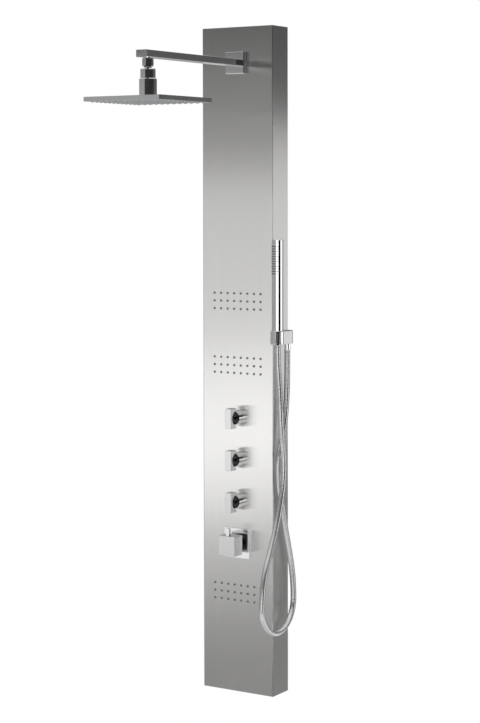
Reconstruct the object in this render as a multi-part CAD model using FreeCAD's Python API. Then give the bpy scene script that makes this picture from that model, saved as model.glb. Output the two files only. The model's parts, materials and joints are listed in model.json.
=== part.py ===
"""Shower panel column: a folded steel column with a rain head, body jets,
three diverter knobs, a lever mixer and a hand shower on its right side.

Millimetres, +Z up.  The front faces -Y and the wall is the plane Y = 0.
The origin is the middle of the upper wall bracket's two screw holes.
Heights below are counted from the column's foot and turned into z by up().
"""
import FreeCAD, Part
import math
import os
from FreeCAD import Placement, Rotation, Vector

X = Vector(1, 0, 0)
Y = Vector(0, 1, 0)
Z = Vector(0, 0, 1)

# ---- folded column -------------------------------------------------------
PANEL_HEIGHT = 1600.0
PANEL_WIDTH = 198.0
PANEL_DEPTH = 70.0
SHEET = 1.5
BEND_RADIUS = 3.0
RETURN_FLANGE = 14.0

# ---- wall brackets and hanger rails ---------------------------------------
UPPER_SCREWS_BELOW_TOP = 200.0
LOWER_SCREW_HEIGHT = 110.0
SCREW_SPACING = 120.0
SCREW_HOLE_RADIUS = 3.0
BRACKET_SHEET = 2.0
BRACKET_WIDTH = 160.0
BRACKET_DROP = 18.0
HOOK_HEIGHT = 36.0
HOOK_SLOT = 4.0

# ---- arm -------------------------------------------------------------------
ARM_BELOW_TOP = 85.5
ARM_WIDTH = 30.0
ARM_TALL = 16.0
ARM_REACH = 393.0
ARM_WALL = 2.0
ARM_FLANGE_SIZE = 51.0
ARM_FLANGE_THICKNESS = 12.0
ARM_NIPPLE_RADIUS = 10.4
ARM_BORE_RADIUS = 5.0
ARM_EDGE_RADIUS = 0.8
ARM_FLANGE_BEVEL = 0.6
ARM_NUT_FLATS = 33.0
ARM_NUT_THICKNESS = 8.0
HEAD_SETBACK = 24.0

# ---- ball joint ------------------------------------------------------------
NIPPLE_THREAD_RADIUS = 6.4
NIPPLE_COLLAR_RADIUS = 12.8
NIPPLE_COLLAR_HEIGHT = 21.0
BALL_RADIUS = 13.5
BALL_DROP = 42.0
BALL_NECK_RADIUS = 8.0
BALL_THROAT_RADIUS = 12.2
BALL_MOUTH_RADIUS = 13.5
BALL_WATERWAY_RADIUS = 4.0
BALL_SEAT_ANGLES = {"upper": (68.0, 84.0), "lower": (98.0, 118.0)}
SEAT_THICKNESS = 1.1
BALL_NUT_RADIUS = 17.0
BALL_NUT_HEIGHT = 22.5
BALL_NUT_GAP = 3.0
HEAD_NECK_RADIUS = 19.8
COLLAR_CHAMFER = 2.5

# ---- rain head -------------------------------------------------------------
HEAD_SIZE = 205.0
HEAD_THICKNESS = 10.0
HEAD_BELOW_BALL = 46.5
HEAD_WALL = 2.0
HEAD_FACE_THICKNESS = 3.0
HEAD_NOZZLE_ROWS = 12
HEAD_NOZZLE_PITCH = 16.0
HEAD_NOZZLE_FLATS = 3.5
HEAD_NOZZLE_LENGTH = 2.0
HEAD_CORNER_RADIUS = 2.0
HEAD_LUG_SPREAD = 68.0
HEAD_LUG_WIDTH = 6.0

# ---- body jets -------------------------------------------------------------
JET_LOWER_HEIGHT = 240.5
JET_MIDDLE_HEIGHT = 791.5
JET_UPPER_RISE = 154.5
JET_COLUMNS = 8
JET_ROWS = 3
JET_PITCH = 18.6
JET_HOLE_RADIUS = 3.0
JET_TIP_LENGTH = 1.2
JET_TIP_BEVEL = 0.6
JET_MAT_THICKNESS = 2.5
JET_MAT_MARGIN = 9.0
MANIFOLD_DEPTH = 18.0
MANIFOLD_WALL = 3.0
MANIFOLD_CORNER_RADIUS = 3.0
MANIFOLD_EAR = 6.0
STUD_OUTSET = 5.0
STUD_RADIUS = 2.0
STUD_LENGTH = 12.0
NUT_FLATS = 7.0
NUT_HEIGHT = 3.2

# ---- diverter knobs --------------------------------------------------------
KNOBS_ABOVE_MIXER = 102.5
KNOB_PITCH = 101.0
KNOB_WIDTH = 17.0
KNOB_TALL = 48.0
KNOB_DEPTH = 24.0
KNOB_CROWN = 6.0
KNOB_EDGE_RADIUS = 1.0
BONNET_RADIUS = 17.0
BONNET_LENGTH = 19.0
KNOB_AIR = 1.0
SPINDLE_RADIUS = 4.0
SPINDLE_BITE = 3.5
SPINDLE_DISC_RADIUS = 7.5
VALVE_NECK_RADIUS = 8.5
VALVE_NECK_LENGTH = 14.0
VALVE_HEX_FLATS = 27.0
VALVE_HEX_LENGTH = 12.0
VALVE_SPIGOT_RADIUS = 10.0
VALVE_SPIGOT_LENGTH = 6.0

# ---- valve column and hoses behind the sheet ---------------------------------
WATERWAY_Y = -38.0
COLUMN_PIPE_RADIUS = 13.0
BOSS_RADIUS = 15.0
OUTLET_RADIUS = 7.0
OUTLET_REACH = 34.0
OUTLET_RISE = 20.0
COLUMN_END_RISE = 3.0
JET_LINE_X = -66.0
PIPE_RADIUS = 6.0
FERRULE_RADIUS = 7.5
FERRULE_LENGTH = 14.0
PIPE_BEND_RADIUS = 40.0
PIPE_END_RUN = 60.0
PIPE_SWING = 60.0
JET_PIPE_END_RUN = 42.0
SIDE_ELBOW_RADIUS = 9.5
SIDE_ELBOW_INSET = 28.0
SIDE_NUT_FLATS = 22.0
SIDE_NUT_THICKNESS = 4.0

# ---- mixer -----------------------------------------------------------------
MIXER_HEIGHT = 362.0
MIXER_PLATE_SIZE = 72.0
MIXER_PLATE_THICKNESS = 4.0
MIXER_PLATE_EDGE_RADIUS = 0.8
MIXER_CUBE = 47.0
MIXER_CUBE_DEPTH = 35.0
MIXER_CUBE_STANDOFF = 12.5
MIXER_CUBE_EDGE_RADIUS = 1.6
MIXER_PIVOT_BEHIND = 8.0
DOME_RADIUS = 22.0
DOME_WALL = 2.5
DOME_SKIRT = 11.0
MIXER_BODY_RADIUS = 27.0
MIXER_BODY_OFF_WALL = 15.0
MIXER_BOSS_RISE = 1.5
MIXER_DISC_THICKNESS = 3.0
MIXER_SPINDLE_RADIUS = 6.0
LEVER_RADIUS = 5.0
LEVER_BALL_RADIUS = 6.0
LEVER_BITE = 12.0
LEVER_LIFT_DEG = 15.0
PIVOT_PIN_RADIUS = 2.0
TOP_PIN_SIZE = 8.5
TOP_PIN_HEIGHT = 18.0
TOP_PIN_SETBACK = 9.5
TOP_PIN_EDGE_RADIUS = 0.6
INLET_RADIUS = 10.4775
INLET_LENGTH = 16.0
INLET_SPREAD = 45.0
INLET_DROP = 20.0
INLET_BODY_RADIUS = 13.0

# ---- hand shower on the right side -------------------------------------------
HOLDER_OUT = 20.0
HOLDER_RADIUS = 17.5
HOLDER_HEIGHT = 31.0
HOLDER_TOP_HEIGHT = 879.0
HOLDER_EDGE_RADIUS = 1.0
HOLDER_GASKET_RADIUS = 13.5
HANDSET_Y = -80.0
HOLDER_REAR_Y = -44.0
OUTLET_Y = -36.0
OUTLET_NUT_RADIUS = 8.7
OUTLET_NUT_LENGTH = 17.0
OUTLET_NUT_BEVEL = 0.8
OUTLET_SPIGOT_RADIUS = 6.0
HOLDER_SLOT_TURN_DEG = 36.0
HANDSET_RADIUS = 14.0
HANDSET_LENGTH = 216.0
HANDSET_WALL = 4.0
HANDSET_RECESS = 2.0
HANDSET_EDGE_RADIUS = 1.0
SPRAY_FACE_LENGTH = 76.0
SPRAY_FACE_BELOW_TOP = 10.0
SPRAY_FACE_WIDTH_DEG = 84.0
SPRAY_FACE_PROUD = 0.6
SPRAY_ROWS = 12
SPRAY_COLUMNS = 3
SPRAY_NOZZLE_FLATS = 1.9
SPRAY_NOZZLE_LENGTH = 1.5
CONE_TOP_RADIUS = 12.0
CONE_BOTTOM_RADIUS = 9.0
CONE_LENGTH = 33.3
HOSE_RADIUS = 7.0
SIDE_NIPPLE_RADIUS = 8.0
SIDE_NIPPLE_Y = -40.0

# ---- clearances --------------------------------------------------------------
SEAT_GAP = 0.3
FIT_GAP = 0.05
RUN_GAP = 0.06
HOLE_GAP = 0.4
BALL_GAP = 0.15

# How far a cut runs past the faces that it opens, and how close two numbers are to be equal.
OVERCUT = 1.0
SAME = 1e-6
# Share of the shorter run beside a bend that its arc may take up.
BEND_SHARE = 0.45

# Points of the hose: out from the side of the column, y, and down from the holder's base.
HOSE_POINTS = [
    (20.0, -80.0, 2.0), (20.0, -80.0, 50.0), (22.5, -79.0, 106.0), (27.0, -83.0, 160.0),
    (29.0, -76.0, 216.0), (29.5, -61.5, 273.0), (29.0, -64.0, 328.0), (27.5, -75.0, 383.0),
    (24.5, -91.0, 436.0), (21.5, -115.5, 486.0), (20.0, -140.5, 536.0), (20.0, -152.5, 592.0),
    (20.0, -152.5, 639.1), (20.0, -124.8, 677.2), (20.0, -80.0, 691.7), (20.0, -35.2, 677.2),
    (20.0, -7.5, 639.1), (20.0, -7.5, 592.0), (18.5, -12.0, 544.0), (16.5, -24.0, 494.0),
    (14.0, -37.5, 442.0), (12.0, -48.5, 388.0), (10.5, -58.5, 332.0), (10.5, -63.0, 276.0),
    (11.5, -55.5, 224.0), (13.0, -41.5, 172.0), (16.5, -36.5, 119.0), (20.0, -36.0, 65.0),
    (20.0, -36.0, 17.0),
]

FRONT_Y = -PANEL_DEPTH
INNER_FRONT_Y = FRONT_Y + SHEET
SIDE_X = PANEL_WIDTH / 2
UPPER_SCREW_HEIGHT = PANEL_HEIGHT - UPPER_SCREWS_BELOW_TOP
ARM_HEIGHT = PANEL_HEIGHT - ARM_BELOW_TOP
BALL_HEIGHT = ARM_HEIGHT - ARM_TALL / 2 - BALL_DROP
HEAD_TOP_HEIGHT = BALL_HEIGHT - HEAD_BELOW_BALL
HEAD_Y = FRONT_Y - ARM_REACH + HEAD_SETBACK
JET_HEIGHTS = {
    "upper": JET_MIDDLE_HEIGHT + JET_UPPER_RISE,
    "middle": JET_MIDDLE_HEIGHT,
    "lower": JET_LOWER_HEIGHT,
}
MANIFOLD_SPIGOTS = {"upper": (-1,), "middle": (-1, 1), "lower": (1,)}
KNOB_HEIGHTS = {
    "head": MIXER_HEIGHT + KNOBS_ABOVE_MIXER + 2 * KNOB_PITCH,
    "jets": MIXER_HEIGHT + KNOBS_ABOVE_MIXER + KNOB_PITCH,
    "handset": MIXER_HEIGHT + KNOBS_ABOVE_MIXER,
}
OUTLET_SIDES = {"head": -1, "jets": -1, "handset": 1}
HANDSET_X = SIDE_X + HOLDER_OUT
SOCKET_RADIUS = BALL_RADIUS + SEAT_THICKNESS + 2 * BALL_GAP
HOLDER_BASE_HEIGHT = HOLDER_TOP_HEIGHT - HOLDER_HEIGHT


# ---- helpers -----------------------------------------------------------------
def up(height):
    """Row-frame z of a height above the column's foot."""
    return height - UPPER_SCREW_HEIGHT


def block(x, y, z):
    """Box between three (low, high) pairs; z is given as heights."""
    size = (x[1] - x[0], y[1] - y[0], z[1] - z[0])
    return Part.makeBox(*size, Vector(x[0], y[0], up(z[0])))


def at(x, y, height):
    """Point in the row frame from a height above the foot."""
    return Vector(x, y, up(height))


def rod(radius, start, direction, length):
    return Part.makeCylinder(radius, length, start, direction)


def pipe_ring(outer, inner, start, direction, length):
    return rod(outer, start, direction, length).cut(rod(inner, start, direction, length))


def hexagon(flats, start, direction, length, flat_first=False):
    """Hexagonal bar of a given width across flats, a corner or a flat turned to the side."""
    radius = flats / math.sqrt(3)
    turn = math.pi / 6 if flat_first else 0.0
    corners = []
    for side in range(7):
        angle = side * math.pi / 3 + turn
        corners.append(Vector(radius * math.cos(angle), radius * math.sin(angle), 0))
    solid = Part.Face(Part.makePolygon(corners)).extrude(Vector(0, 0, length))
    solid.Placement = Placement(start, Rotation(Z, direction))
    return solid


def turned(profile, base, direction):
    """Solid turned from (radius, distance) points about the line from base along direction."""
    points = [Vector(radius, 0, along) for radius, along in profile]
    face = Part.Face(Part.makePolygon(points + points[:1]))
    solid = face.revolve(Vector(0, 0, 0), Z, 360)
    solid.Placement = Placement(base, Rotation(Z, direction))
    return solid


def fuse(shapes):
    """One solid from overlapping shapes, with its split faces joined again."""
    return shapes[0].fuse(shapes[1:]).removeSplitter()


def upright_edges(shape, y=None):
    """Vertical edges of a shape, all of them or those at a given y."""
    found = []
    for edge in shape.Edges:
        box = edge.BoundBox
        upright = box.ZLength > SAME and box.XLength < SAME and box.YLength < SAME
        if upright and (y is None or abs(box.YMin - y) < SAME):
            found.append(edge)
    return found


def deep_edges(shape):
    """Edges that run from front to back."""
    return [edge for edge in shape.Edges if edge.BoundBox.YLength > SAME]


def front_edges(shape, front):
    """Edges that lie in the plane y = front."""
    return [edge for edge in shape.Edges if abs(edge.BoundBox.YMax - front) < SAME]


def level_edges(shape):
    """Edges that lie in horizontal planes."""
    return [edge for edge in shape.Edges if edge.BoundBox.ZLength < SAME]


def route(points, bend_radius=None):
    """Wire of straight runs and tangent arcs through a list of points.

    With no bend radius each arc is as large as its two runs allow.
    """
    edges = []
    radii = []
    last = points[0]
    for before, corner, after in zip(points, points[1:], points[2:]):
        way_in = (corner - before).normalize()
        way_out = (after - corner).normalize()
        half_turn = way_in.getAngle(way_out) / 2
        shorter_run = min((corner - before).Length, (after - corner).Length)
        reach = BEND_SHARE * shorter_run
        if bend_radius:
            reach = min(reach, bend_radius * math.tan(half_turn))
        radius = reach / math.tan(half_turn)
        radii.append(radius)
        arc_start = corner - way_in * reach
        arc_end = corner + way_out * reach
        inward = (way_out - way_in).normalize()
        centre = corner + inward * math.hypot(radius, reach)
        middle = centre - inward * radius
        edges.append(Part.LineSegment(last, arc_start).toShape())
        edges.append(Part.Arc(arc_start, middle, arc_end).toShape())
        last = arc_end
    edges.append(Part.LineSegment(last, points[-1]).toShape())
    return Part.Wire(edges), radii


def swept_rod(points, radius, bend_radius=None):
    """Round bar along a route, and the route's length and radii."""
    wire, radii = route(points, bend_radius)
    start_way = points[1] - points[0]
    section = Part.Wire(Part.makeCircle(radius, points[0], start_way))
    solid = wire.makePipeShell([section], True, False)
    return solid, wire.Length, radii


def export(name, shape):
    shape.exportStep("parts/" + name + ".step")


# ---- column ------------------------------------------------------------------
def jet_places(height):
    """Centres (x, height) of one group of body jets."""
    places = []
    for row in range(JET_ROWS):
        for column in range(JET_COLUMNS):
            x = (column - (JET_COLUMNS - 1) / 2) * JET_PITCH
            places.append((x, height + (row - (JET_ROWS - 1) / 2) * JET_PITCH))
    return places


def mat_half_size():
    half_x = (JET_COLUMNS - 1) * JET_PITCH / 2 + JET_MAT_MARGIN
    half_z = (JET_ROWS - 1) * JET_PITCH / 2 + JET_MAT_MARGIN
    return half_x, half_z


def stud_places(height):
    """The two welded studs beside a jet manifold."""
    half_x, _ = mat_half_size()
    return [(side * (half_x + STUD_OUTSET), height) for side in (-1, 1)]


def jet_openings(height):
    return [
        rod(JET_HOLE_RADIUS, at(x, FRONT_Y - SHEET, h), Y, 3 * SHEET) for x, h in jet_places(height)
    ]


def column_shell():
    """Front, sides, top and foot folded from one sheet, with narrow return flanges."""
    outer = block((-SIDE_X, SIDE_X), (FRONT_Y, 0), (0, PANEL_HEIGHT))
    outer = outer.makeFillet(BEND_RADIUS, upright_edges(outer, y=FRONT_Y))
    inner = block(
        (-SIDE_X + SHEET, SIDE_X - SHEET), (INNER_FRONT_Y, -SHEET), (SHEET, PANEL_HEIGHT - SHEET)
    )
    inner = inner.makeFillet(BEND_RADIUS - SHEET, upright_edges(inner, y=INNER_FRONT_Y))
    back = block(
        (-SIDE_X + RETURN_FLANGE, SIDE_X - RETURN_FLANGE),
        (-2 * SHEET, SHEET),
        (RETURN_FLANGE, PANEL_HEIGHT - RETURN_FLANGE),
    )
    cuts = [inner, back]
    for height in JET_HEIGHTS.values():
        cuts += jet_openings(height)
    reach = 3 * SHEET
    for height in KNOB_HEIGHTS.values():
        cuts.append(rod(VALVE_NECK_RADIUS + HOLE_GAP, at(0, FRONT_Y - SHEET, height), Y, reach))
    cuts.append(rod(DOME_RADIUS + HOLE_GAP, at(0, FRONT_Y - SHEET, MIXER_HEIGHT), Y, reach))
    cuts.append(rod(ARM_NIPPLE_RADIUS + HOLE_GAP, at(0, FRONT_Y - SHEET, ARM_HEIGHT), Y, reach))
    side_start = at(SIDE_X - 2 * SHEET, SIDE_NIPPLE_Y, side_height())
    cuts.append(rod(SIDE_NIPPLE_RADIUS + HOLE_GAP, side_start, X, reach))
    shell = outer.cut(cuts)
    studs = []
    for height in JET_HEIGHTS.values():
        for x, h in stud_places(height):
            studs.append(rod(STUD_RADIUS, at(x, INNER_FRONT_Y - SHEET / 3, h), Y, STUD_LENGTH))
    return fuse([shell] + studs)


def bracket_profile(points, half_width):
    """Bent strip: a closed (y, height) outline pulled along X."""
    corners = [at(-half_width, y, height) for y, height in points]
    return Part.Face(Part.makePolygon(corners + corners[:1])).extrude(X * (2 * half_width))


def wall_bracket(height):
    """Plate on the wall whose top edge is bent out and up into a lip."""
    lip_back = -(BRACKET_SHEET + HOOK_SLOT)
    lip_front = lip_back - BRACKET_SHEET
    top = height + HOOK_HEIGHT
    step = height + BRACKET_DROP
    outline = [
        (0, height - BRACKET_DROP), (0, step), (lip_back, step), (lip_back, top),
        (lip_front, top), (lip_front, step - BRACKET_SHEET),
        (-BRACKET_SHEET, step - BRACKET_SHEET), (-BRACKET_SHEET, height - BRACKET_DROP),
    ]
    plate = bracket_profile(outline, BRACKET_WIDTH / 2)
    for x in (-SCREW_SPACING / 2, SCREW_SPACING / 2):
        start = at(x, -2 * BRACKET_SHEET, height)
        plate = plate.cut(rod(SCREW_HOLE_RADIUS, start, Y, 3 * BRACKET_SHEET))
    return plate


def hanger_rail(height):
    """Rail welded between the column's sides; its down-turned edge hooks over the lip."""
    lip_back = -(BRACKET_SHEET + HOOK_SLOT)
    hook_front = lip_back + SEAT_GAP
    hook_back = hook_front + BRACKET_SHEET
    web_back = lip_back - BRACKET_SHEET - SEAT_GAP
    web_front = web_back - BRACKET_SHEET
    top = height + HOOK_HEIGHT
    outline = [
        (hook_back, top + BRACKET_SHEET), (hook_back, height + BRACKET_DROP + SEAT_GAP),
        (hook_front, height + BRACKET_DROP + SEAT_GAP), (hook_front, top), (web_back, top),
        (web_back, height - BRACKET_DROP), (web_front, height - BRACKET_DROP),
        (web_front, top + BRACKET_SHEET),
    ]
    return bracket_profile(outline, SIDE_X - SHEET)


# ---- arm and ball joint ----------------------------------------------------------
def arm_flange():
    half = ARM_FLANGE_SIZE / 2
    front = FRONT_Y - ARM_FLANGE_THICKNESS
    plate = block((-half, half), (front, FRONT_Y), (ARM_HEIGHT - half, ARM_HEIGHT + half))
    plate = plate.makeChamfer(ARM_FLANGE_BEVEL, front_edges(plate, front))
    half_x = ARM_WIDTH / 2 + FIT_GAP
    half_z = ARM_TALL / 2 + FIT_GAP
    slot = block(
        (-half_x, half_x), (front - OVERCUT, FRONT_Y + OVERCUT),
        (ARM_HEIGHT - half_z, ARM_HEIGHT + half_z),
    )
    return plate.cut(slot)


def arm_tube():
    """Rectangular tube with a closed end, a threaded stub behind and a tapped hole below."""
    end = FRONT_Y - ARM_REACH
    half_x = ARM_WIDTH / 2
    half_z = ARM_TALL / 2
    outer = block((-half_x, half_x), (end, FRONT_Y), (ARM_HEIGHT - half_z, ARM_HEIGHT + half_z))
    outer = outer.makeFillet(ARM_EDGE_RADIUS, deep_edges(outer))
    inner = block(
        (-half_x + ARM_WALL, half_x - ARM_WALL),
        (end + ARM_WALL, FRONT_Y - ARM_WALL),
        (ARM_HEIGHT - half_z + ARM_WALL, ARM_HEIGHT + half_z - ARM_WALL),
    )
    stub_length = SHEET + MANIFOLD_DEPTH
    stub = rod(ARM_NIPPLE_RADIUS, at(0, FRONT_Y, ARM_HEIGHT), Y, stub_length)
    bore_start = at(0, FRONT_Y - 2 * ARM_WALL, ARM_HEIGHT)
    bore = rod(ARM_BORE_RADIUS, bore_start, Y, 2 * stub_length)
    under = at(0, HEAD_Y, ARM_HEIGHT - half_z - ARM_WALL)
    tapped = rod(NIPPLE_THREAD_RADIUS + FIT_GAP, under, Z, 3 * ARM_WALL)
    return fuse([outer.cut([inner, tapped]), stub]).cut(bore)


def arm_lock_nut():
    start = at(0, INNER_FRONT_Y, ARM_HEIGHT)
    nut = hexagon(ARM_NUT_FLATS, start, Y, ARM_NUT_THICKNESS, flat_first=True)
    return nut.cut(rod(ARM_NIPPLE_RADIUS + FIT_GAP, start, Y, ARM_NUT_THICKNESS))


def arm_elbow():
    """Elbow behind the sheet that turns the waterway down to the riser hose."""
    start_y = FRONT_Y + SHEET + MANIFOLD_DEPTH
    across = rod(ARM_NIPPLE_RADIUS, at(0, start_y, ARM_HEIGHT), Y, WATERWAY_Y - start_y + OUTLET_RADIUS)
    down = rod(FERRULE_RADIUS, at(0, WATERWAY_Y, ARM_HEIGHT), -Z, OUTLET_RISE)
    return fuse([across, down])


def ball_nipple():
    """Threaded stub, barrel collar, neck and ball, drilled through for the water."""
    thread_top = BALL_DROP + ARM_WALL
    collar_base = BALL_DROP - NIPPLE_COLLAR_HEIGHT
    chamfer = COLLAR_CHAMFER
    profile = [
        (0, thread_top), (NIPPLE_THREAD_RADIUS, thread_top), (NIPPLE_THREAD_RADIUS, BALL_DROP),
        (NIPPLE_COLLAR_RADIUS - chamfer, BALL_DROP),
        (NIPPLE_COLLAR_RADIUS, BALL_DROP - chamfer),
        (NIPPLE_COLLAR_RADIUS, collar_base + chamfer),
        (NIPPLE_COLLAR_RADIUS - chamfer, collar_base), (BALL_NECK_RADIUS, collar_base),
        (BALL_NECK_RADIUS, 0), (0, 0),
    ]
    centre = at(0, HEAD_Y, BALL_HEIGHT)
    stem = turned(profile, centre, Z)
    ball = Part.makeSphere(BALL_RADIUS, centre)
    waterway = rod(BALL_WATERWAY_RADIUS, centre - Z * BALL_RADIUS, Z, 2 * BALL_RADIUS + BALL_DROP)
    return fuse([stem, ball]).cut(waterway)


def ball_seat(from_deg, to_deg):
    """Thin spherical ring round the ball between two angles from the upward axis."""
    inner = BALL_RADIUS + BALL_GAP
    outer = inner + SEAT_THICKNESS
    centre = at(0, HEAD_Y, BALL_HEIGHT)

    def spot(radius, degrees):
        angle = math.radians(degrees)
        return Vector(radius * math.sin(angle), 0, radius * math.cos(angle))

    middle_deg = (from_deg + to_deg) / 2
    edges = [
        Part.Arc(spot(outer, from_deg), spot(outer, middle_deg), spot(outer, to_deg)).toShape(),
        Part.LineSegment(spot(outer, to_deg), spot(inner, to_deg)).toShape(),
        Part.Arc(spot(inner, to_deg), spot(inner, middle_deg), spot(inner, from_deg)).toShape(),
        Part.LineSegment(spot(inner, from_deg), spot(outer, from_deg)).toShape(),
    ]
    ring = Part.Face(Part.Wire(edges)).revolve(Vector(0, 0, 0), Z, 360)
    ring.Placement = Placement(centre, Rotation())
    return ring


def ball_nut():
    """Collar that holds the ball from above."""
    top = BALL_DROP - NIPPLE_COLLAR_HEIGHT - BALL_NUT_GAP
    base = top - BALL_NUT_HEIGHT
    chamfer = COLLAR_CHAMFER
    centre = at(0, HEAD_Y, BALL_HEIGHT)
    profile = [
        (0, base), (BALL_NUT_RADIUS - chamfer / 2, base), (BALL_NUT_RADIUS, base + chamfer / 2),
        (BALL_NUT_RADIUS, top - chamfer), (BALL_NUT_RADIUS - chamfer, top), (0, top),
    ]
    collar = turned(profile, centre, Z)
    throat = rod(BALL_THROAT_RADIUS, centre, Z, top / 2 + OVERCUT)
    mouth = Part.makeCone(BALL_THROAT_RADIUS, BALL_MOUTH_RADIUS, top / 2, centre + Z * top / 2, Z)
    return collar.cut([throat, mouth, Part.makeSphere(SOCKET_RADIUS, centre)])


def head_neck():
    """Lower collar: socket for the ball above, foot on the head's roof below."""
    top = BALL_DROP - NIPPLE_COLLAR_HEIGHT - BALL_NUT_GAP - BALL_NUT_HEIGHT
    base = -HEAD_BELOW_BALL
    centre = at(0, HEAD_Y, BALL_HEIGHT)
    chamfer = COLLAR_CHAMFER / 2
    profile = [
        (0, base), (HEAD_NECK_RADIUS, base), (HEAD_NECK_RADIUS, top - chamfer),
        (HEAD_NECK_RADIUS - chamfer, top), (0, top),
    ]
    collar = turned(profile, centre, Z)
    waterway = rod(NIPPLE_THREAD_RADIUS, centre, -Z, HEAD_BELOW_BALL + OVERCUT)
    return collar.cut([waterway, Part.makeSphere(SOCKET_RADIUS, centre)])


# ---- rain head ---------------------------------------------------------------------
def head_shell():
    """Shallow square pan, open below."""
    half = HEAD_SIZE / 2
    base = HEAD_TOP_HEIGHT - HEAD_THICKNESS
    pan = block((-half, half), (HEAD_Y - half, HEAD_Y + half), (base, HEAD_TOP_HEIGHT))
    pan = pan.makeFillet(HEAD_CORNER_RADIUS, upright_edges(pan))
    inside = half - HEAD_WALL
    hollow = block(
        (-inside, inside), (HEAD_Y - inside, HEAD_Y + inside),
        (base - OVERCUT, HEAD_TOP_HEIGHT - HEAD_WALL),
    )
    inlet = rod(NIPPLE_THREAD_RADIUS, at(0, HEAD_Y, HEAD_TOP_HEIGHT - 2 * HEAD_WALL), Z, 3 * HEAD_WALL)
    return pan.cut([hollow, inlet])


def head_nozzle_mat():
    """Face plate with rows of soft nozzle tips below."""
    half = HEAD_SIZE / 2 - HEAD_WALL - SEAT_GAP
    base = HEAD_TOP_HEIGHT - HEAD_THICKNESS
    plate = block(
        (-half, half), (HEAD_Y - half, HEAD_Y + half), (base, base + HEAD_FACE_THICKNESS)
    )
    middle = (HEAD_NOZZLE_ROWS - 1) / 2
    tips = []
    for row in range(HEAD_NOZZLE_ROWS):
        for column in range(HEAD_NOZZLE_ROWS):
            x = (column - middle) * HEAD_NOZZLE_PITCH
            y = HEAD_Y + (row - middle) * HEAD_NOZZLE_PITCH
            start = at(x, y, base + HEAD_FACE_THICKNESS / 2)
            length = HEAD_FACE_THICKNESS / 2 + HEAD_NOZZLE_LENGTH
            tips.append(hexagon(HEAD_NOZZLE_FLATS, start, -Z, length))
    half_lug = HEAD_LUG_WIDTH / 2
    lugs = [
        block((x - half_lug, x + half_lug), (HEAD_Y - half, HEAD_Y + half),
              (base + HEAD_FACE_THICKNESS, HEAD_TOP_HEIGHT - HEAD_WALL))
        for x in (-HEAD_LUG_SPREAD, HEAD_LUG_SPREAD)
    ]
    return fuse([plate] + tips + lugs)


# ---- body jets ---------------------------------------------------------------------
def jet_nozzle_mat(height):
    """Soft mat behind the sheet whose tips stand in the sheet's holes."""
    half_x, half_z = mat_half_size()
    plate = block(
        (-half_x, half_x), (INNER_FRONT_Y, INNER_FRONT_Y + JET_MAT_THICKNESS),
        (height - half_z, height + half_z),
    )
    start_y = INNER_FRONT_Y + JET_MAT_THICKNESS / 2
    radius = JET_HOLE_RADIUS - SEAT_GAP
    length = start_y - FRONT_Y + JET_TIP_LENGTH
    profile = [
        (0, 0), (radius, 0), (radius, length - JET_TIP_BEVEL), (radius - JET_TIP_BEVEL, length), (0, length),
    ]
    tips = [turned(profile, at(x, start_y, h), -Y) for x, h in jet_places(height)]
    return fuse([plate] + tips)


def manifold_y():
    """Y of the middle of a manifold's depth, where its hoses join."""
    return INNER_FRONT_Y + JET_MAT_THICKNESS + MANIFOLD_DEPTH / 2


def jet_manifold(height, spigots):
    """Shallow water box that clamps the mat, with two ears and hose spigots."""
    half_x, half_z = mat_half_size()
    front = INNER_FRONT_Y + JET_MAT_THICKNESS
    box = block((-half_x, half_x), (front, front + MANIFOLD_DEPTH), (height - half_z, height + half_z))
    box = box.makeFillet(MANIFOLD_CORNER_RADIUS, deep_edges(box))
    wall = MANIFOLD_WALL
    hollow = block(
        (-half_x + wall, half_x - wall), (front - OVERCUT, front + MANIFOLD_DEPTH - wall),
        (height - half_z + wall, height + half_z - wall),
    )
    box = box.cut(hollow)
    pieces = [box]
    ear = MANIFOLD_EAR
    for x, h in stud_places(height):
        inner_x = math.copysign(half_x, x)
        outer_x = x + math.copysign(ear, x)
        span = (min(inner_x, outer_x), max(inner_x, outer_x))
        lug = block(span, (INNER_FRONT_Y, INNER_FRONT_Y + ear), (h - ear, h + ear))
        stud_hole = rod(STUD_RADIUS + FIT_GAP, at(x, INNER_FRONT_Y - OVERCUT, h), Y, 2 * ear)
        pieces.append(lug.cut(stud_hole))
    for side in spigots:
        start = at(JET_LINE_X, manifold_y(), height + side * (half_z - wall / 2))
        pieces.append(rod(FERRULE_RADIUS, start, Z * side, wall / 2 + FERRULE_RADIUS))
    return fuse(pieces)


def manifold_nuts():
    """Six nuts on the welded studs."""
    nuts = []
    start_y = INNER_FRONT_Y + MANIFOLD_EAR
    for height in JET_HEIGHTS.values():
        for x, h in stud_places(height):
            nut = hexagon(NUT_FLATS, at(x, start_y, h), Y, NUT_HEIGHT)
            nuts.append(nut.cut(rod(STUD_RADIUS + FIT_GAP, at(x, start_y, h), Y, NUT_HEIGHT)))
    return Part.Compound(nuts)


# ---- diverter valves and knobs --------------------------------------------------------
def hex_front_y():
    return INNER_FRONT_Y + SEAT_GAP


def hex_back_y():
    return hex_front_y() + VALVE_HEX_LENGTH


def bonnet_front_y():
    """Y of the plane where the bonnet's cylinder turns into its round nose."""
    return FRONT_Y - BONNET_LENGTH


def knob_front_y():
    return bonnet_front_y() - KNOB_DEPTH


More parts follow.
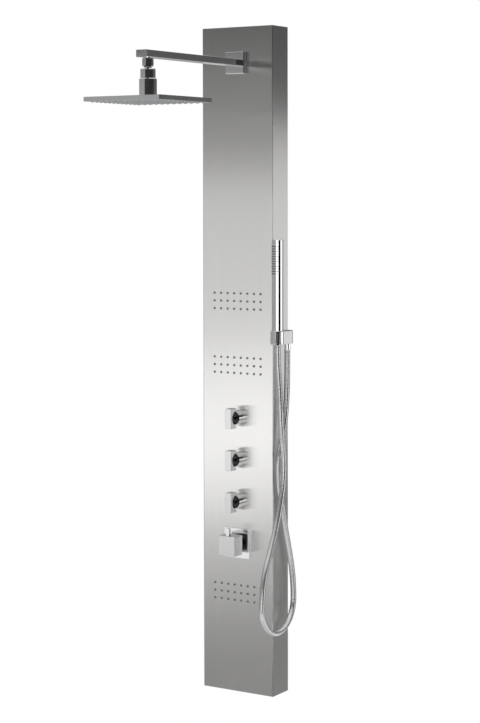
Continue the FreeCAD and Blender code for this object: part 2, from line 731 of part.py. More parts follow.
def stop_valve(height):
    """Hexagonal valve body: neck through the sheet, spigot in the waterway boss."""
    body = hexagon(VALVE_HEX_FLATS, at(0, hex_front_y(), height), Y, VALVE_HEX_LENGTH, flat_first=True)
    neck_end = FRONT_Y - VALVE_NECK_LENGTH
    neck = rod(VALVE_NECK_RADIUS, at(0, neck_end, height), Y, hex_back_y() - neck_end)
    spigot_start = at(0, hex_back_y() - OVERCUT, height)
    spigot = rod(VALVE_SPIGOT_RADIUS, spigot_start, Y, VALVE_SPIGOT_LENGTH + OVERCUT)
    bore_start = at(0, neck_end - OVERCUT, height)
    bore = rod(SPINDLE_RADIUS + RUN_GAP, bore_start, Y, VALVE_NECK_LENGTH + VALVE_HEX_LENGTH)
    disc_y = hex_back_y() - SPINDLE_RADIUS
    seat = rod(SPINDLE_DISC_RADIUS + SEAT_GAP, at(0, disc_y, height), Y, 2 * VALVE_HEX_LENGTH)
    return fuse([body, neck, spigot]).cut([bore, seat])


def knob_bonnet(height):
    """Chrome cylinder with a round nose, screwed over the valve's neck."""
    nose = Part.makeSphere(BONNET_RADIUS, at(0, bonnet_front_y(), height))
    barrel = rod(BONNET_RADIUS, at(0, bonnet_front_y(), height), Y, BONNET_LENGTH)
    ahead = at(0, bonnet_front_y() - 2 * BONNET_RADIUS, height)
    length = 2 * BONNET_RADIUS + BONNET_LENGTH
    keep = rod(BONNET_RADIUS + OVERCUT, ahead, Y, length)
    solid = fuse([nose, barrel]).common(keep)
    neck_start = at(0, FRONT_Y - VALVE_NECK_LENGTH - SEAT_GAP, height)
    neck_hole = rod(VALVE_NECK_RADIUS + FIT_GAP, neck_start, Y, 2 * VALVE_NECK_LENGTH)
    spindle_hole = rod(SPINDLE_RADIUS + RUN_GAP, ahead, Y, length)
    return solid.cut([neck_hole, spindle_hole])


def knob_spindle(height):
    """Brass spindle with its sealing disc inside the valve."""
    end_y = knob_front_y() + KNOB_CROWN - SPINDLE_BITE
    disc_y = hex_back_y() - SPINDLE_RADIUS + SEAT_GAP
    shaft = rod(SPINDLE_RADIUS, at(0, end_y, height), Y, disc_y + OVERCUT - end_y)
    disc = rod(SPINDLE_DISC_RADIUS, at(0, disc_y, height), Y, SPINDLE_RADIUS)
    return fuse([shaft, disc])


def knob_handle(height):
    """Upright bar handle whose back is arched to clear the bonnet's round nose."""
    half_x = KNOB_WIDTH / 2
    half_z = KNOB_TALL / 2
    bar = block(
        (-half_x, half_x), (knob_front_y(), bonnet_front_y()), (height - half_z, height + half_z)
    )
    face_and_flanks = [edge for edge in bar.Edges if edge.BoundBox.YMin < knob_front_y() + SAME]
    bar = bar.makeFillet(KNOB_EDGE_RADIUS, face_and_flanks)
    arch = rod(BONNET_RADIUS + KNOB_AIR, at(-KNOB_WIDTH, bonnet_front_y(), height), X, 2 * KNOB_WIDTH)
    start_y = knob_front_y() + KNOB_CROWN - SPINDLE_BITE
    socket = rod(SPINDLE_RADIUS + FIT_GAP, at(0, start_y, height), Y, KNOB_DEPTH)
    return bar.cut([arch, socket])


# ---- waterways ---------------------------------------------------------------------------
def outlet_x(name):
    """X of a valve's outlet: the jets' outlet reaches further than the riser's."""
    if name == "jets":
        return JET_LINE_X
    return OUTLET_SIDES[name] * OUTLET_REACH


def column_base_height():
    """Height at which the waterway stands on the mixer's body."""
    return MIXER_HEIGHT + MIXER_BODY_RADIUS + MIXER_BOSS_RISE


def valve_column():
    """Upright brass waterway with three valve bosses, their side outlets and elbows."""
    base = column_base_height()
    top = KNOB_HEIGHTS["head"] + BOSS_RADIUS + COLUMN_END_RISE
    pieces = [rod(COLUMN_PIPE_RADIUS, at(0, WATERWAY_Y, base), Z, top - base)]
    bores = []
    for name, height in KNOB_HEIGHTS.items():
        boss_y = hex_back_y()
        pieces.append(rod(BOSS_RADIUS, at(0, boss_y, height), Y, WATERWAY_Y - boss_y + OUTLET_RADIUS))
        bores.append(rod(VALVE_SPIGOT_RADIUS + FIT_GAP, at(0, boss_y - OVERCUT, height), Y,
                         VALVE_SPIGOT_LENGTH + SEAT_GAP + OVERCUT))
        end_x = outlet_x(name)
        side = X * OUTLET_SIDES[name]
        pieces.append(rod(OUTLET_RADIUS, at(0, WATERWAY_Y, height), side, abs(end_x)))
        pieces.append(Part.makeSphere(OUTLET_RADIUS, at(end_x, WATERWAY_Y, height)))
        pieces.append(rod(OUTLET_RADIUS, at(end_x, WATERWAY_Y, height), Z, OUTLET_RISE))
        if name == "jets":
            pieces.append(rod(OUTLET_RADIUS, at(end_x, WATERWAY_Y, height), -Z, OUTLET_RISE))
    return fuse(pieces).cut(bores)


def hose_with_ferrules(points):
    """Reinforced hose with a crimped ferrule at each end."""
    hose, _, _ = swept_rod(points, PIPE_RADIUS, PIPE_BEND_RADIUS)
    first_way = (points[1] - points[0]).normalize()
    last_way = (points[-2] - points[-1]).normalize()
    first = rod(FERRULE_RADIUS, points[0], first_way, FERRULE_LENGTH)
    last = rod(FERRULE_RADIUS, points[-1], last_way, FERRULE_LENGTH)
    return fuse([hose, first, last])


def head_pipe():
    start = KNOB_HEIGHTS["head"] + OUTLET_RISE
    end = ARM_HEIGHT - OUTLET_RISE
    x = outlet_x("head")
    return hose_with_ferrules([
        at(x, WATERWAY_Y, start), at(x, WATERWAY_Y, end - PIPE_END_RUN - PIPE_SWING),
        at(0, WATERWAY_Y, end - PIPE_END_RUN), at(0, WATERWAY_Y, end),
    ])


def spigot_height(name, side):
    """Height of the end of a manifold's spigot."""
    _, half_z = mat_half_size()
    return JET_HEIGHTS[name] + side * (half_z + FERRULE_RADIUS)


def jet_pipe(start, end):
    """Hose from one height to another beside the column, stepping forward to the manifold."""
    x = JET_LINE_X
    run = math.copysign(JET_PIPE_END_RUN, end - start)
    return hose_with_ferrules([
        at(x, WATERWAY_Y, start), at(x, WATERWAY_Y, start + run),
        at(x, manifold_y(), end - run), at(x, manifold_y(), end),
    ])


def jet_pipe_link():
    start = spigot_height("middle", 1)
    length = spigot_height("upper", -1) - start
    spot = at(JET_LINE_X, manifold_y(), start)
    hose = rod(PIPE_RADIUS, spot, Z, length)
    first = rod(FERRULE_RADIUS, spot, Z, FERRULE_LENGTH)
    last = rod(FERRULE_RADIUS, spot + Z * (length - FERRULE_LENGTH), Z, FERRULE_LENGTH)
    return fuse([hose, first, last])


def side_height():
    """Height of the water nipple through the column's right side."""
    return HOLDER_BASE_HEIGHT + HOLDER_HEIGHT / 2


def side_elbow_x():
    return SIDE_X - SHEET - SIDE_ELBOW_INSET


def handset_pipe():
    start = KNOB_HEIGHTS["handset"] + OUTLET_RISE
    end = side_height() - OUTLET_RISE
    x = outlet_x("handset")
    return hose_with_ferrules([
        at(x, WATERWAY_Y, start), at(x, WATERWAY_Y, end - PIPE_END_RUN - PIPE_SWING),
        at(side_elbow_x(), SIDE_NIPPLE_Y, end - PIPE_END_RUN),
        at(side_elbow_x(), SIDE_NIPPLE_Y, end),
    ])


def side_elbow():
    """Elbow inside the column with a threaded nipple out through the right side."""
    height = side_height()
    corner = at(side_elbow_x(), SIDE_NIPPLE_Y, height)
    nipple_end = SIDE_X + HOLDER_OUT - HOLDER_RADIUS + FERRULE_RADIUS
    return fuse([
        rod(SIDE_ELBOW_RADIUS, corner - X * OUTLET_RADIUS, X, FERRULE_LENGTH + OUTLET_RADIUS),
        rod(FERRULE_RADIUS, corner, -Z, OUTLET_RISE),
        rod(SIDE_NIPPLE_RADIUS, corner, X, nipple_end - side_elbow_x()),
    ])


def side_lock_nut():
    start = at(SIDE_X - SHEET - SIDE_NUT_THICKNESS, SIDE_NIPPLE_Y, side_height())
    nut = hexagon(SIDE_NUT_FLATS, start, X, SIDE_NUT_THICKNESS, flat_first=True)
    return nut.cut(rod(SIDE_NIPPLE_RADIUS + FIT_GAP, start, X, SIDE_NUT_THICKNESS))


# ---- mixer ---------------------------------------------------------------------------------
def pivot_y():
    return FRONT_Y + MIXER_PIVOT_BEHIND


def skirt_back_y():
    return pivot_y() + DOME_SKIRT


def mixer_body():
    """Brass cup behind the sheet with hot and cold inlets turned down."""
    depth = -MIXER_BODY_OFF_WALL - hex_front_y()
    cup = rod(MIXER_BODY_RADIUS, at(0, hex_front_y(), MIXER_HEIGHT), Y, depth)
    boss_start = at(0, WATERWAY_Y, MIXER_HEIGHT)
    boss = rod(COLUMN_PIPE_RADIUS, boss_start, Z, column_base_height() - MIXER_HEIGHT)
    pieces = [cup, boss]
    for side in (-1, 1):
        corner = at(side * INLET_SPREAD, WATERWAY_Y, MIXER_HEIGHT)
        pieces.append(rod(INLET_BODY_RADIUS, at(0, WATERWAY_Y, MIXER_HEIGHT), X * side, INLET_SPREAD))
        pieces.append(Part.makeSphere(INLET_BODY_RADIUS, corner))
        pieces.append(rod(INLET_BODY_RADIUS, corner, -Z, INLET_DROP))
        pieces.append(rod(INLET_RADIUS, corner, -Z, INLET_DROP + INLET_LENGTH))
    cavity = rod(DOME_RADIUS + SEAT_GAP, at(0, hex_front_y() - OVERCUT, MIXER_HEIGHT), Y,
                 skirt_back_y() + SEAT_GAP - hex_front_y() + OVERCUT)
    shaft_hole = rod(MIXER_SPINDLE_RADIUS + RUN_GAP, at(0, skirt_back_y(), MIXER_HEIGHT), Y,
                     2 * MIXER_SPINDLE_RADIUS + SEAT_GAP)
    return fuse(pieces).cut([cavity, shaft_hole])


def mixer_plate():
    half = MIXER_PLATE_SIZE / 2
    front = FRONT_Y - MIXER_PLATE_THICKNESS
    plate = block((-half, half), (front, FRONT_Y), (MIXER_HEIGHT - half, MIXER_HEIGHT + half))
    plate = plate.makeFillet(MIXER_PLATE_EDGE_RADIUS, front_edges(plate, front))
    hole_start = at(0, front - OVERCUT, MIXER_HEIGHT)
    hole = rod(DOME_RADIUS - SEAT_GAP, hole_start, Y, MIXER_PLATE_THICKNESS + 2 * OVERCUT)
    return plate.cut(hole)


def mixer_dome():
    """Round nose with a skirt, slotted for the lever; it turns with the temperature."""
    centre = at(0, pivot_y(), MIXER_HEIGHT)
    inner = DOME_RADIUS - DOME_WALL
    solid = fuse([Part.makeSphere(DOME_RADIUS, centre), rod(DOME_RADIUS, centre, Y, DOME_SKIRT)])
    hollow = fuse([Part.makeSphere(inner, centre), rod(inner, centre, Y, DOME_SKIRT + OVERCUT)])
    beyond = rod(2 * DOME_RADIUS, centre + Y * DOME_SKIRT, Y, 2 * DOME_RADIUS)
    half_slot = LEVER_RADIUS + SEAT_GAP
    slot_top = DOME_RADIUS * math.sin(math.radians(LEVER_LIFT_DEG)) + half_slot + 2 * SEAT_GAP
    slot = block(
        (-half_slot, half_slot), (pivot_y() - 2 * DOME_RADIUS, pivot_y() - LEVER_BALL_RADIUS),
        (MIXER_HEIGHT - half_slot, MIXER_HEIGHT + slot_top),
    )
    pin_hole = rod(PIVOT_PIN_RADIUS + FIT_GAP, centre - X * 2 * DOME_RADIUS, X, 4 * DOME_RADIUS)
    return solid.cut([hollow, beyond, slot, pin_hole])


def mixer_spindle():
    """Disc inside the dome's skirt with the shaft that turns in the body."""
    start = at(0, skirt_back_y() - MIXER_DISC_THICKNESS, MIXER_HEIGHT)
    disc = rod(DOME_RADIUS - DOME_WALL - FIT_GAP, start, Y, MIXER_DISC_THICKNESS)
    shaft = rod(MIXER_SPINDLE_RADIUS, start, Y, MIXER_DISC_THICKNESS + 2 * MIXER_SPINDLE_RADIUS)
    return fuse([disc, shaft])


def mixer_pivot_pin():
    reach = DOME_RADIUS - SEAT_GAP
    return rod(PIVOT_PIN_RADIUS, at(-reach, pivot_y(), MIXER_HEIGHT), X, 2 * reach)


def cube_back_y():
    return FRONT_Y - MIXER_PLATE_THICKNESS - MIXER_CUBE_STANDOFF


def mixer_lever():
    """Stem from the pivot out to the cube."""
    centre = at(0, pivot_y(), MIXER_HEIGHT)
    length = pivot_y() - cube_back_y() + LEVER_BITE
    stem = fuse([Part.makeSphere(LEVER_BALL_RADIUS, centre), rod(LEVER_RADIUS, centre, -Y, length)])
    across = 2 * LEVER_BALL_RADIUS
    return stem.cut(rod(PIVOT_PIN_RADIUS + RUN_GAP, centre - X * across, X, 2 * across))


def mixer_handle():
    """Cube handle with a socket for the lever in its back."""
    half = MIXER_CUBE / 2
    front = cube_back_y() - MIXER_CUBE_DEPTH
    cube = block((-half, half), (front, cube_back_y()), (MIXER_HEIGHT - half, MIXER_HEIGHT + half))
    cube = cube.makeFillet(MIXER_CUBE_EDGE_RADIUS, cube.Edges)
    socket_end = at(0, cube_back_y() - LEVER_BITE, MIXER_HEIGHT)
    socket = rod(LEVER_RADIUS + FIT_GAP, socket_end, Y, 2 * LEVER_BITE)
    return cube.cut(socket)


def mixer_pin():
    """Square pin that stands on the cube near its front."""
    half = TOP_PIN_SIZE / 2
    base = MIXER_HEIGHT + MIXER_CUBE / 2
    middle_y = cube_back_y() - MIXER_CUBE_DEPTH + TOP_PIN_SETBACK
    pin = block((-half, half), (middle_y - half, middle_y + half), (base, base + TOP_PIN_HEIGHT))
    return pin.makeFillet(TOP_PIN_EDGE_RADIUS, upright_edges(pin))


# ---- hand shower --------------------------------------------------------------------------------
def handset_holder():
    """Rounded block: slotted conical seat in front, water outlet at the rear."""
    base = at(HANDSET_X, HANDSET_Y, HOLDER_BASE_HEIGHT)
    rear = at(HANDSET_X, HOLDER_REAR_Y, HOLDER_BASE_HEIGHT)
    body = fuse([
        rod(HOLDER_RADIUS, base, Z, HOLDER_HEIGHT),
        rod(HOLDER_RADIUS, rear, Z, HOLDER_HEIGHT),
        block(
            (HANDSET_X - HOLDER_RADIUS, HANDSET_X + HOLDER_RADIUS), (HANDSET_Y, HOLDER_REAR_Y),
            (HOLDER_BASE_HEIGHT, HOLDER_TOP_HEIGHT),
        ),
    ])
    body = body.makeFillet(HOLDER_EDGE_RADIUS, level_edges(body))
    cut_height = HOLDER_HEIGHT + 2 * OVERCUT
    slope = (CONE_TOP_RADIUS - CONE_BOTTOM_RADIUS) / CONE_LENGTH
    wide = CONE_TOP_RADIUS + SEAT_GAP
    seat = Part.makeCone(wide - slope * cut_height, wide, cut_height, base - Z * OVERCUT)
    half_slot = HOSE_RADIUS + SEAT_GAP
    slot_corner = Vector(-half_slot, -2 * HOLDER_RADIUS, -OVERCUT)
    slot = Part.makeBox(2 * half_slot, 2 * HOLDER_RADIUS, cut_height, slot_corner)
    slot.Placement = Placement(base, Rotation(Z, HOLDER_SLOT_TURN_DEG))
    nipple_start = at(SIDE_X, SIDE_NIPPLE_Y, side_height())
    nipple_reach = HOLDER_OUT - HOLDER_RADIUS + FERRULE_RADIUS + SEAT_GAP
    nipple = rod(SIDE_NIPPLE_RADIUS + FIT_GAP, nipple_start, X, nipple_reach)
    outlet = at(HANDSET_X, OUTLET_Y, HOLDER_BASE_HEIGHT)
    spigot = rod(OUTLET_SPIGOT_RADIUS, outlet + Z * OVERCUT, -Z, OVERCUT + OUTLET_NUT_LENGTH / 2)
    return fuse([body.cut([seat, slot, nipple]), spigot])


def holder_gasket():
    """Flat spacer between the column's side and the holder block."""
    thickness = HOLDER_OUT - HOLDER_RADIUS
    start = at(SIDE_X, SIDE_NIPPLE_Y, side_height())
    return pipe_ring(HOLDER_GASKET_RADIUS, SIDE_NIPPLE_RADIUS + FIT_GAP, start, X, thickness)


def outlet_nut():
    """Knurled round nut that joins the hose to the outlet."""
    top = at(HANDSET_X, OUTLET_Y, HOLDER_BASE_HEIGHT)
    nut = rod(OUTLET_NUT_RADIUS, top, -Z, OUTLET_NUT_LENGTH)
    nut = nut.makeChamfer(OUTLET_NUT_BEVEL, level_edges(nut))
    bore_length = OVERCUT + OUTLET_NUT_LENGTH / 2
    return nut.cut(rod(OUTLET_SPIGOT_RADIUS + FIT_GAP, top + Z * OVERCUT, -Z, bore_length))


def hose_cone_nut():
    """Conical nut at the hose's upper end; it is what the holder's seat grips."""
    top = HOLDER_TOP_HEIGHT + SEAT_GAP
    base = at(HANDSET_X, HANDSET_Y, top - CONE_LENGTH)
    return Part.makeCone(CONE_BOTTOM_RADIUS, CONE_TOP_RADIUS, CONE_LENGTH, base, Z)


def spray_face_sector(inner, outer, base, top):
    """Upright curved strip on the handset's front, between two radii."""
    centre = at(HANDSET_X, HANDSET_Y, base)
    strip = pipe_ring(outer, inner, centre, Z, top - base)
    half = math.radians(SPRAY_FACE_WIDTH_DEG / 2)
    reach = 4 * HANDSET_RADIUS
    corners = [
        Vector(0, 0, 0), Vector(-reach * math.tan(half), -reach, 0),
        Vector(reach * math.tan(half), -reach, 0), Vector(0, 0, 0),
    ]
    wedge = Part.Face(Part.makePolygon(corners)).extrude(Vector(0, 0, top - base))
    wedge.Placement = Placement(centre, Rotation())
    return strip.common(wedge)


def spray_face_heights(margin=0.0):
    top = HOLDER_TOP_HEIGHT + SEAT_GAP + HANDSET_LENGTH - SPRAY_FACE_BELOW_TOP
    return top - SPRAY_FACE_LENGTH - margin, top + margin


def handset_tube():
    """Stick handset: straight tube with a closed top and a recess for the spray face."""
    base = at(HANDSET_X, HANDSET_Y, HOLDER_TOP_HEIGHT + SEAT_GAP)
    body = rod(HANDSET_RADIUS, base, Z, HANDSET_LENGTH)
    body = body.makeFillet(HANDSET_EDGE_RADIUS, level_edges(body))
    inner = HANDSET_RADIUS - HANDSET_WALL
    waterway = rod(inner, base + Z * HANDSET_WALL, Z, HANDSET_LENGTH - 2 * HANDSET_WALL)
    low, high = spray_face_heights(FIT_GAP)
    recess = spray_face_sector(HANDSET_RADIUS - HANDSET_RECESS, 2 * HANDSET_RADIUS, low, high)
    return body.cut([waterway, recess])


def handset_spray_face():
    """Curved insert with rows of small nozzles."""
    low, high = spray_face_heights()
    seat_radius = HANDSET_RADIUS - HANDSET_RECESS + FIT_GAP
    strip = spray_face_sector(seat_radius, HANDSET_RADIUS + SPRAY_FACE_PROUD, low, high)
    tips = []
    pitch = SPRAY_FACE_LENGTH / (SPRAY_ROWS + 1)
    spread = SPRAY_FACE_WIDTH_DEG / (SPRAY_COLUMNS + 1)
    for row in range(SPRAY_ROWS):
        for column in range(SPRAY_COLUMNS):
            angle = math.radians((column - (SPRAY_COLUMNS - 1) / 2) * spread)
            way = Vector(math.sin(angle), -math.cos(angle), 0)
            start = at(HANDSET_X, HANDSET_Y, low + (row + 1) * pitch) + way * HANDSET_RADIUS
            tips.append(hexagon(SPRAY_NOZZLE_FLATS, start, way, SPRAY_NOZZLE_LENGTH))
    return fuse([strip] + tips)


def shower_hose():
    """Metal hose from the cone nut down round its loop and up to the outlet."""
    points = [at(SIDE_X + out, y, HOLDER_BASE_HEIGHT - down) for out, y, down in HOSE_POINTS]
    hose, length, radii = swept_rod(points, HOSE_RADIUS)
    expected = math.pi * HOSE_RADIUS ** 2 * length
    print("hose length %.0f, volume over section x length %.4f" % (length, hose.Volume / expected))
    print("hose radii " + " ".join("%.0f" % radius for radius in radii))
    return hose


# ---- assembly ----------------------------------------------------------------------------------------
def build():
    os.makedirs("parts", exist_ok=True)
    export("column_shell", column_shell())
    for name, height in (("upper", UPPER_SCREW_HEIGHT), ("lower", LOWER_SCREW_HEIGHT)):
        export("wall_bracket_" + name, wall_bracket(height))
        export("hanger_rail_" + name, hanger_rail(height))
    export("arm_flange", arm_flange())
    export("arm_tube", arm_tube())
    export("arm_lock_nut", arm_lock_nut())
    export("arm_elbow", arm_elbow())
    export("ball_nipple", ball_nipple())
    for name, angles in BALL_SEAT_ANGLES.items():
        export("ball_seat_" + name, ball_seat(*angles))
    export("ball_nut", ball_nut())
    export("head_neck", head_neck())
    export("head_shell", head_shell())
    export("head_nozzle_mat", head_nozzle_mat())
    for name, height in JET_HEIGHTS.items():
        export("jet_nozzle_mat_" + name, jet_nozzle_mat(height))
        export("jet_manifold_" + name, jet_manifold(height, MANIFOLD_SPIGOTS[name]))
    export("manifold_nuts", manifold_nuts())
    export("valve_column", valve_column())
    for name, height in KNOB_HEIGHTS.items():
        export("stop_valve_" + name, stop_valve(height))
        export("knob_bonnet_" + name, knob_bonnet(height))
        export("knob_spindle_" + name, knob_spindle(height))
        export("knob_handle_" + name, knob_handle(height))
    export("head_pipe", head_pipe())
    outlet = KNOB_HEIGHTS["jets"]
    export("jet_pipe_upper", jet_pipe(outlet + OUTLET_RISE, spigot_height("middle", -1)))
    export("jet_pipe_lower", jet_pipe(outlet - OUTLET_RISE, spigot_height("lower", 1)))
    export("jet_pipe_link", jet_pipe_link())
    export("handset_pipe", handset_pipe())
    export("side_elbow", side_elbow())
    export("side_lock_nut", side_lock_nut())
    export("mixer_body", mixer_body())
    export("mixer_plate", mixer_plate())
    export("mixer_dome", mixer_dome())
    export("mixer_spindle", mixer_spindle())
    export("mixer_pivot_pin", mixer_pivot_pin())
    export("mixer_lever", mixer_lever())
    export("mixer_handle", mixer_handle())
    export("mixer_pin", mixer_pin())
    export("handset_holder", handset_holder())
    export("holder_gasket", holder_gasket())
    export("outlet_nut", outlet_nut())
    export("hose_cone_nut", hose_cone_nut())
    export("handset_tube", handset_tube())
    export("handset_spray_face", handset_spray_face())
    export("shower_hose", shower_hose())


build()
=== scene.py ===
# %% [markdown]
# # A shower panel column, dressed in Blender
# The column is a folded sheet of brushed steel that hangs on a wall. It carries
# a square rain head on an arm, three groups of body jets, three diverter knobs,
# a lever mixer, and a hand shower with a metal hose on its right side.
# The exact solids come from a packed CAD model. This lesson gives them their
# finishes and models the pieces whose detail is too fine for the solids.
#
# The first cell loads the CAD model. Every length is in metres, z = 0 is the
# height of the upper wall screws, and the front faces -Y.

# %% Load the frame
import json
import math

import bmesh
import bpy
from mathutils import Matrix, Vector
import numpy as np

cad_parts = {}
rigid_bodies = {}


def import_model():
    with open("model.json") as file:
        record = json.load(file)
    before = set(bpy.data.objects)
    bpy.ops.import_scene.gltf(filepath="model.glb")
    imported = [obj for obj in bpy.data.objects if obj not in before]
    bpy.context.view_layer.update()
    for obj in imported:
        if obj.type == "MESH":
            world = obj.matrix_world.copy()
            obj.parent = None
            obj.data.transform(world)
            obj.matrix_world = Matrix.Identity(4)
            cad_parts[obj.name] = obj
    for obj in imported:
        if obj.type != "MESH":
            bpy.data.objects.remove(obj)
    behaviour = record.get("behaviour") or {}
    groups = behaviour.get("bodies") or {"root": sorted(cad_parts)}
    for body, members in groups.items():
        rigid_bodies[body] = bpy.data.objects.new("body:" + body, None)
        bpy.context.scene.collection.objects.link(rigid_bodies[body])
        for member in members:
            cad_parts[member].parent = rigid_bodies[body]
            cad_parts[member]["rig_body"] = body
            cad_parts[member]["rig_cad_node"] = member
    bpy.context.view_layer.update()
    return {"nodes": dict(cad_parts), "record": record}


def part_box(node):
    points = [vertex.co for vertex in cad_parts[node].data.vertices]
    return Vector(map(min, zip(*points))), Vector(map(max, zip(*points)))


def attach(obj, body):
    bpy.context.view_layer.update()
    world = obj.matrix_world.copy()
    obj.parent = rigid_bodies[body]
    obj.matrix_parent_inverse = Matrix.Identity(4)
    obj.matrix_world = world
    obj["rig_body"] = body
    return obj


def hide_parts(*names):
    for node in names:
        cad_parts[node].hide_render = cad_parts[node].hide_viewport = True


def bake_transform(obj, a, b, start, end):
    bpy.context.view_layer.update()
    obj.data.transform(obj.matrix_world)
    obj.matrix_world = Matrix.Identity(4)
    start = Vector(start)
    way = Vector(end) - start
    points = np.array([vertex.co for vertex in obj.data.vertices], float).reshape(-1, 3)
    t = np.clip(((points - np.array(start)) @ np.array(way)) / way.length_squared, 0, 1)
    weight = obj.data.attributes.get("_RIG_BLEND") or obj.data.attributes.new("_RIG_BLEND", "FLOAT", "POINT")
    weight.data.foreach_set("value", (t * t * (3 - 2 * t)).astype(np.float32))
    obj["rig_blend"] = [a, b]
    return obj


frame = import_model()
nodes = frame["nodes"]
FOOT_Z = -1.4


# %% [markdown]
# ## Camera
# The photo was taken with a long lens from the right of the column, from a
# height between the rain head and the upper jets. It was cropped afterwards, so
# its optical axis is above the middle of the frame. A lens shift does the same
# as that crop. It could also be copied by tilting the camera more, but then the
# column's upright edges would lean together.

# %% Camera
camera_data = bpy.data.cameras.new("camera")
camera_data.sensor_fit = "VERTICAL"
camera_data.sensor_height = 36.0
camera_data.lens = 92.345
camera_data.shift_y = -0.121
camera = bpy.data.objects.new("camera", camera_data)
camera.location = (2.373961, -3.821104, -0.181019)
camera.rotation_euler = [math.radians(a) for a in (87.318, 0.0919, 32.2417)]
bpy.context.scene.collection.objects.link(camera)
bpy.context.scene.camera = camera
print("camera", [round(v, 3) for v in camera.location])


# %% [markdown]
# ## Helpers for modelling
# Operators act on whatever is selected, and a freshly loaded scene has
# everything selected. So each step starts by clearing the selection, and faces
# are then picked in code by where they are or which way they point.

# %% Selecting
TOUCHING = 1e-6


def object_mode():
    bpy.ops.object.mode_set(mode="OBJECT")


def clear_selection():
    if bpy.context.mode != "OBJECT":
        object_mode()
    bpy.ops.object.select_all(action="DESELECT")


def make_active(piece):
    clear_selection()
    piece.select_set(True)
    bpy.context.view_layer.objects.active = piece


def settle(piece, name):
    """Names a piece and moves its place and turn into its mesh."""
    make_active(piece)
    piece.name = name
    piece.data.name = name
    bpy.ops.object.transform_apply(location=True, rotation=True, scale=True)
    return piece


def pick_faces(piece, wanted):
    """Leaves exactly the wanted faces selected, in edit mode."""
    make_active(piece)
    bpy.ops.object.mode_set(mode="EDIT")
    bpy.ops.mesh.select_mode(type="FACE")
    mesh = bmesh.from_edit_mesh(piece.data)
    for face in mesh.faces:
        face.select_set(bool(wanted(face)))
    bmesh.update_edit_mesh(piece.data)


def pick_edges(piece, wanted):
    """Leaves exactly the wanted edges selected, in edit mode."""
    make_active(piece)
    bpy.ops.object.mode_set(mode="EDIT")
    bpy.ops.mesh.select_mode(type="EDGE")
    mesh = bmesh.from_edit_mesh(piece.data)
    for edge in mesh.edges:
        edge.select_set(bool(wanted(edge)))
    bmesh.update_edit_mesh(piece.data)


def faces_up(face):
    """True for a flat top."""
    return face.normal.z > 0.99


def is_level(edge):
    """True for an edge that lies flat, such as a rim of an upright cylinder."""
    return abs(edge.verts[0].co.z - edge.verts[1].co.z) < TOUCHING


print("mode", bpy.context.mode)


# %% [markdown]
# Smooth shading bends the light over a flat face when its neighbours are small
# bevels, and polished metal shows that at once as a bent reflection. Weighted
# normals let the large faces decide, so that they stay straight.

# %% Shading
LARGE_FACES_COUNT = 80


def apply_all(piece):
    """Makes the result of every modifier real."""
    make_active(piece)
    for modifier in list(piece.modifiers):
        bpy.ops.object.modifier_apply(modifier=modifier.name)
    return piece


def smooth_by_angle(piece, degrees=32):
    """Smooth shading up to an angle, with normals that the large faces decide."""
    make_active(piece)
    bpy.ops.object.shade_smooth_by_angle(angle=math.radians(degrees))
    weighted = piece.modifiers.new("large faces first", "WEIGHTED_NORMAL")
    weighted.mode = "FACE_AREA"
    weighted.weight = LARGE_FACES_COUNT
    weighted.keep_sharp = True
    return apply_all(piece)


print("weight of large faces", LARGE_FACES_COUNT, "of 100")


# %% [markdown]
# The pieces are built from a few moves that come again and again: an upright
# cylinder, a copy with a mesh of its own, a row of places, and a join.

# %% Cylinders and copies
def copy_piece(piece, name):
    """A copy with a mesh of its own."""
    twin = piece.copy()
    twin.data = piece.data.copy()
    twin.name = name
    bpy.context.scene.collection.objects.link(twin)
    return twin


def join_pieces(pieces, name):
    """Joins pieces into the first one."""
    clear_selection()
    for piece in pieces:
        piece.select_set(True)
    bpy.context.view_layer.objects.active = pieces[0]
    bpy.ops.object.join()
    pieces[0].name = name
    pieces[0].data.name = name
    return pieces[0]


def coat(piece, material):
    """Gives a piece this material and no other."""
    piece.data.materials.clear()
    piece.data.materials.append(material)


def box_of(node_name):
    """Lowest corner, highest corner and middle of a CAD node."""
    low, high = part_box(node_name)
    return low, high, [(a + b) / 2 for a, b in zip(low, high)]


def centred(count, pitch):
    """Places at an even pitch, on both sides of 0."""
    return [(k - (count - 1) / 2) * pitch for k in range(count)]


def cylinder(radius, bottom, top, centre, sides, name):
    """An upright cylinder between two heights."""
    clear_selection()
    bpy.ops.mesh.primitive_cylinder_add(
        vertices=sides, radius=radius, depth=top - bottom, location=(centre[0], centre[1], (bottom + top) / 2)
    )
    return settle(bpy.context.object, name)


def repeat(model, places, name):
    """One joined piece made of a copy of the model at each place, given as a matrix."""
    twins = []
    for index, place in enumerate(places):
        twin = copy_piece(model, name + "_" + str(index))
        twin.data.transform(place)
        twins.append(twin)
    bpy.data.objects.remove(model)
    return join_pieces(twins, name)


print("middle of the rain head", [round(v, 3) for v in box_of("head_shell")[2]])


# %% [markdown]
# ## Helpers for shader maths
# A material's pattern is a formula, and a formula reads best as one. This small
# class wraps a socket, so that `noise * 0.2 + 0.4` adds the Math nodes itself.
# Every other node comes from one function, which sets the node's options first
# and its sockets after that.

# %% Node function
def set_stops(ramp, stops):
    """Gives a grey ramp a stop for each place and brightness."""
    while len(ramp.elements) < len(stops):
        ramp.elements.new(0.5)
    for element, (place, grey) in zip(ramp.elements, stops):
        element.position = place
        element.color = (grey, grey, grey, 1.0)


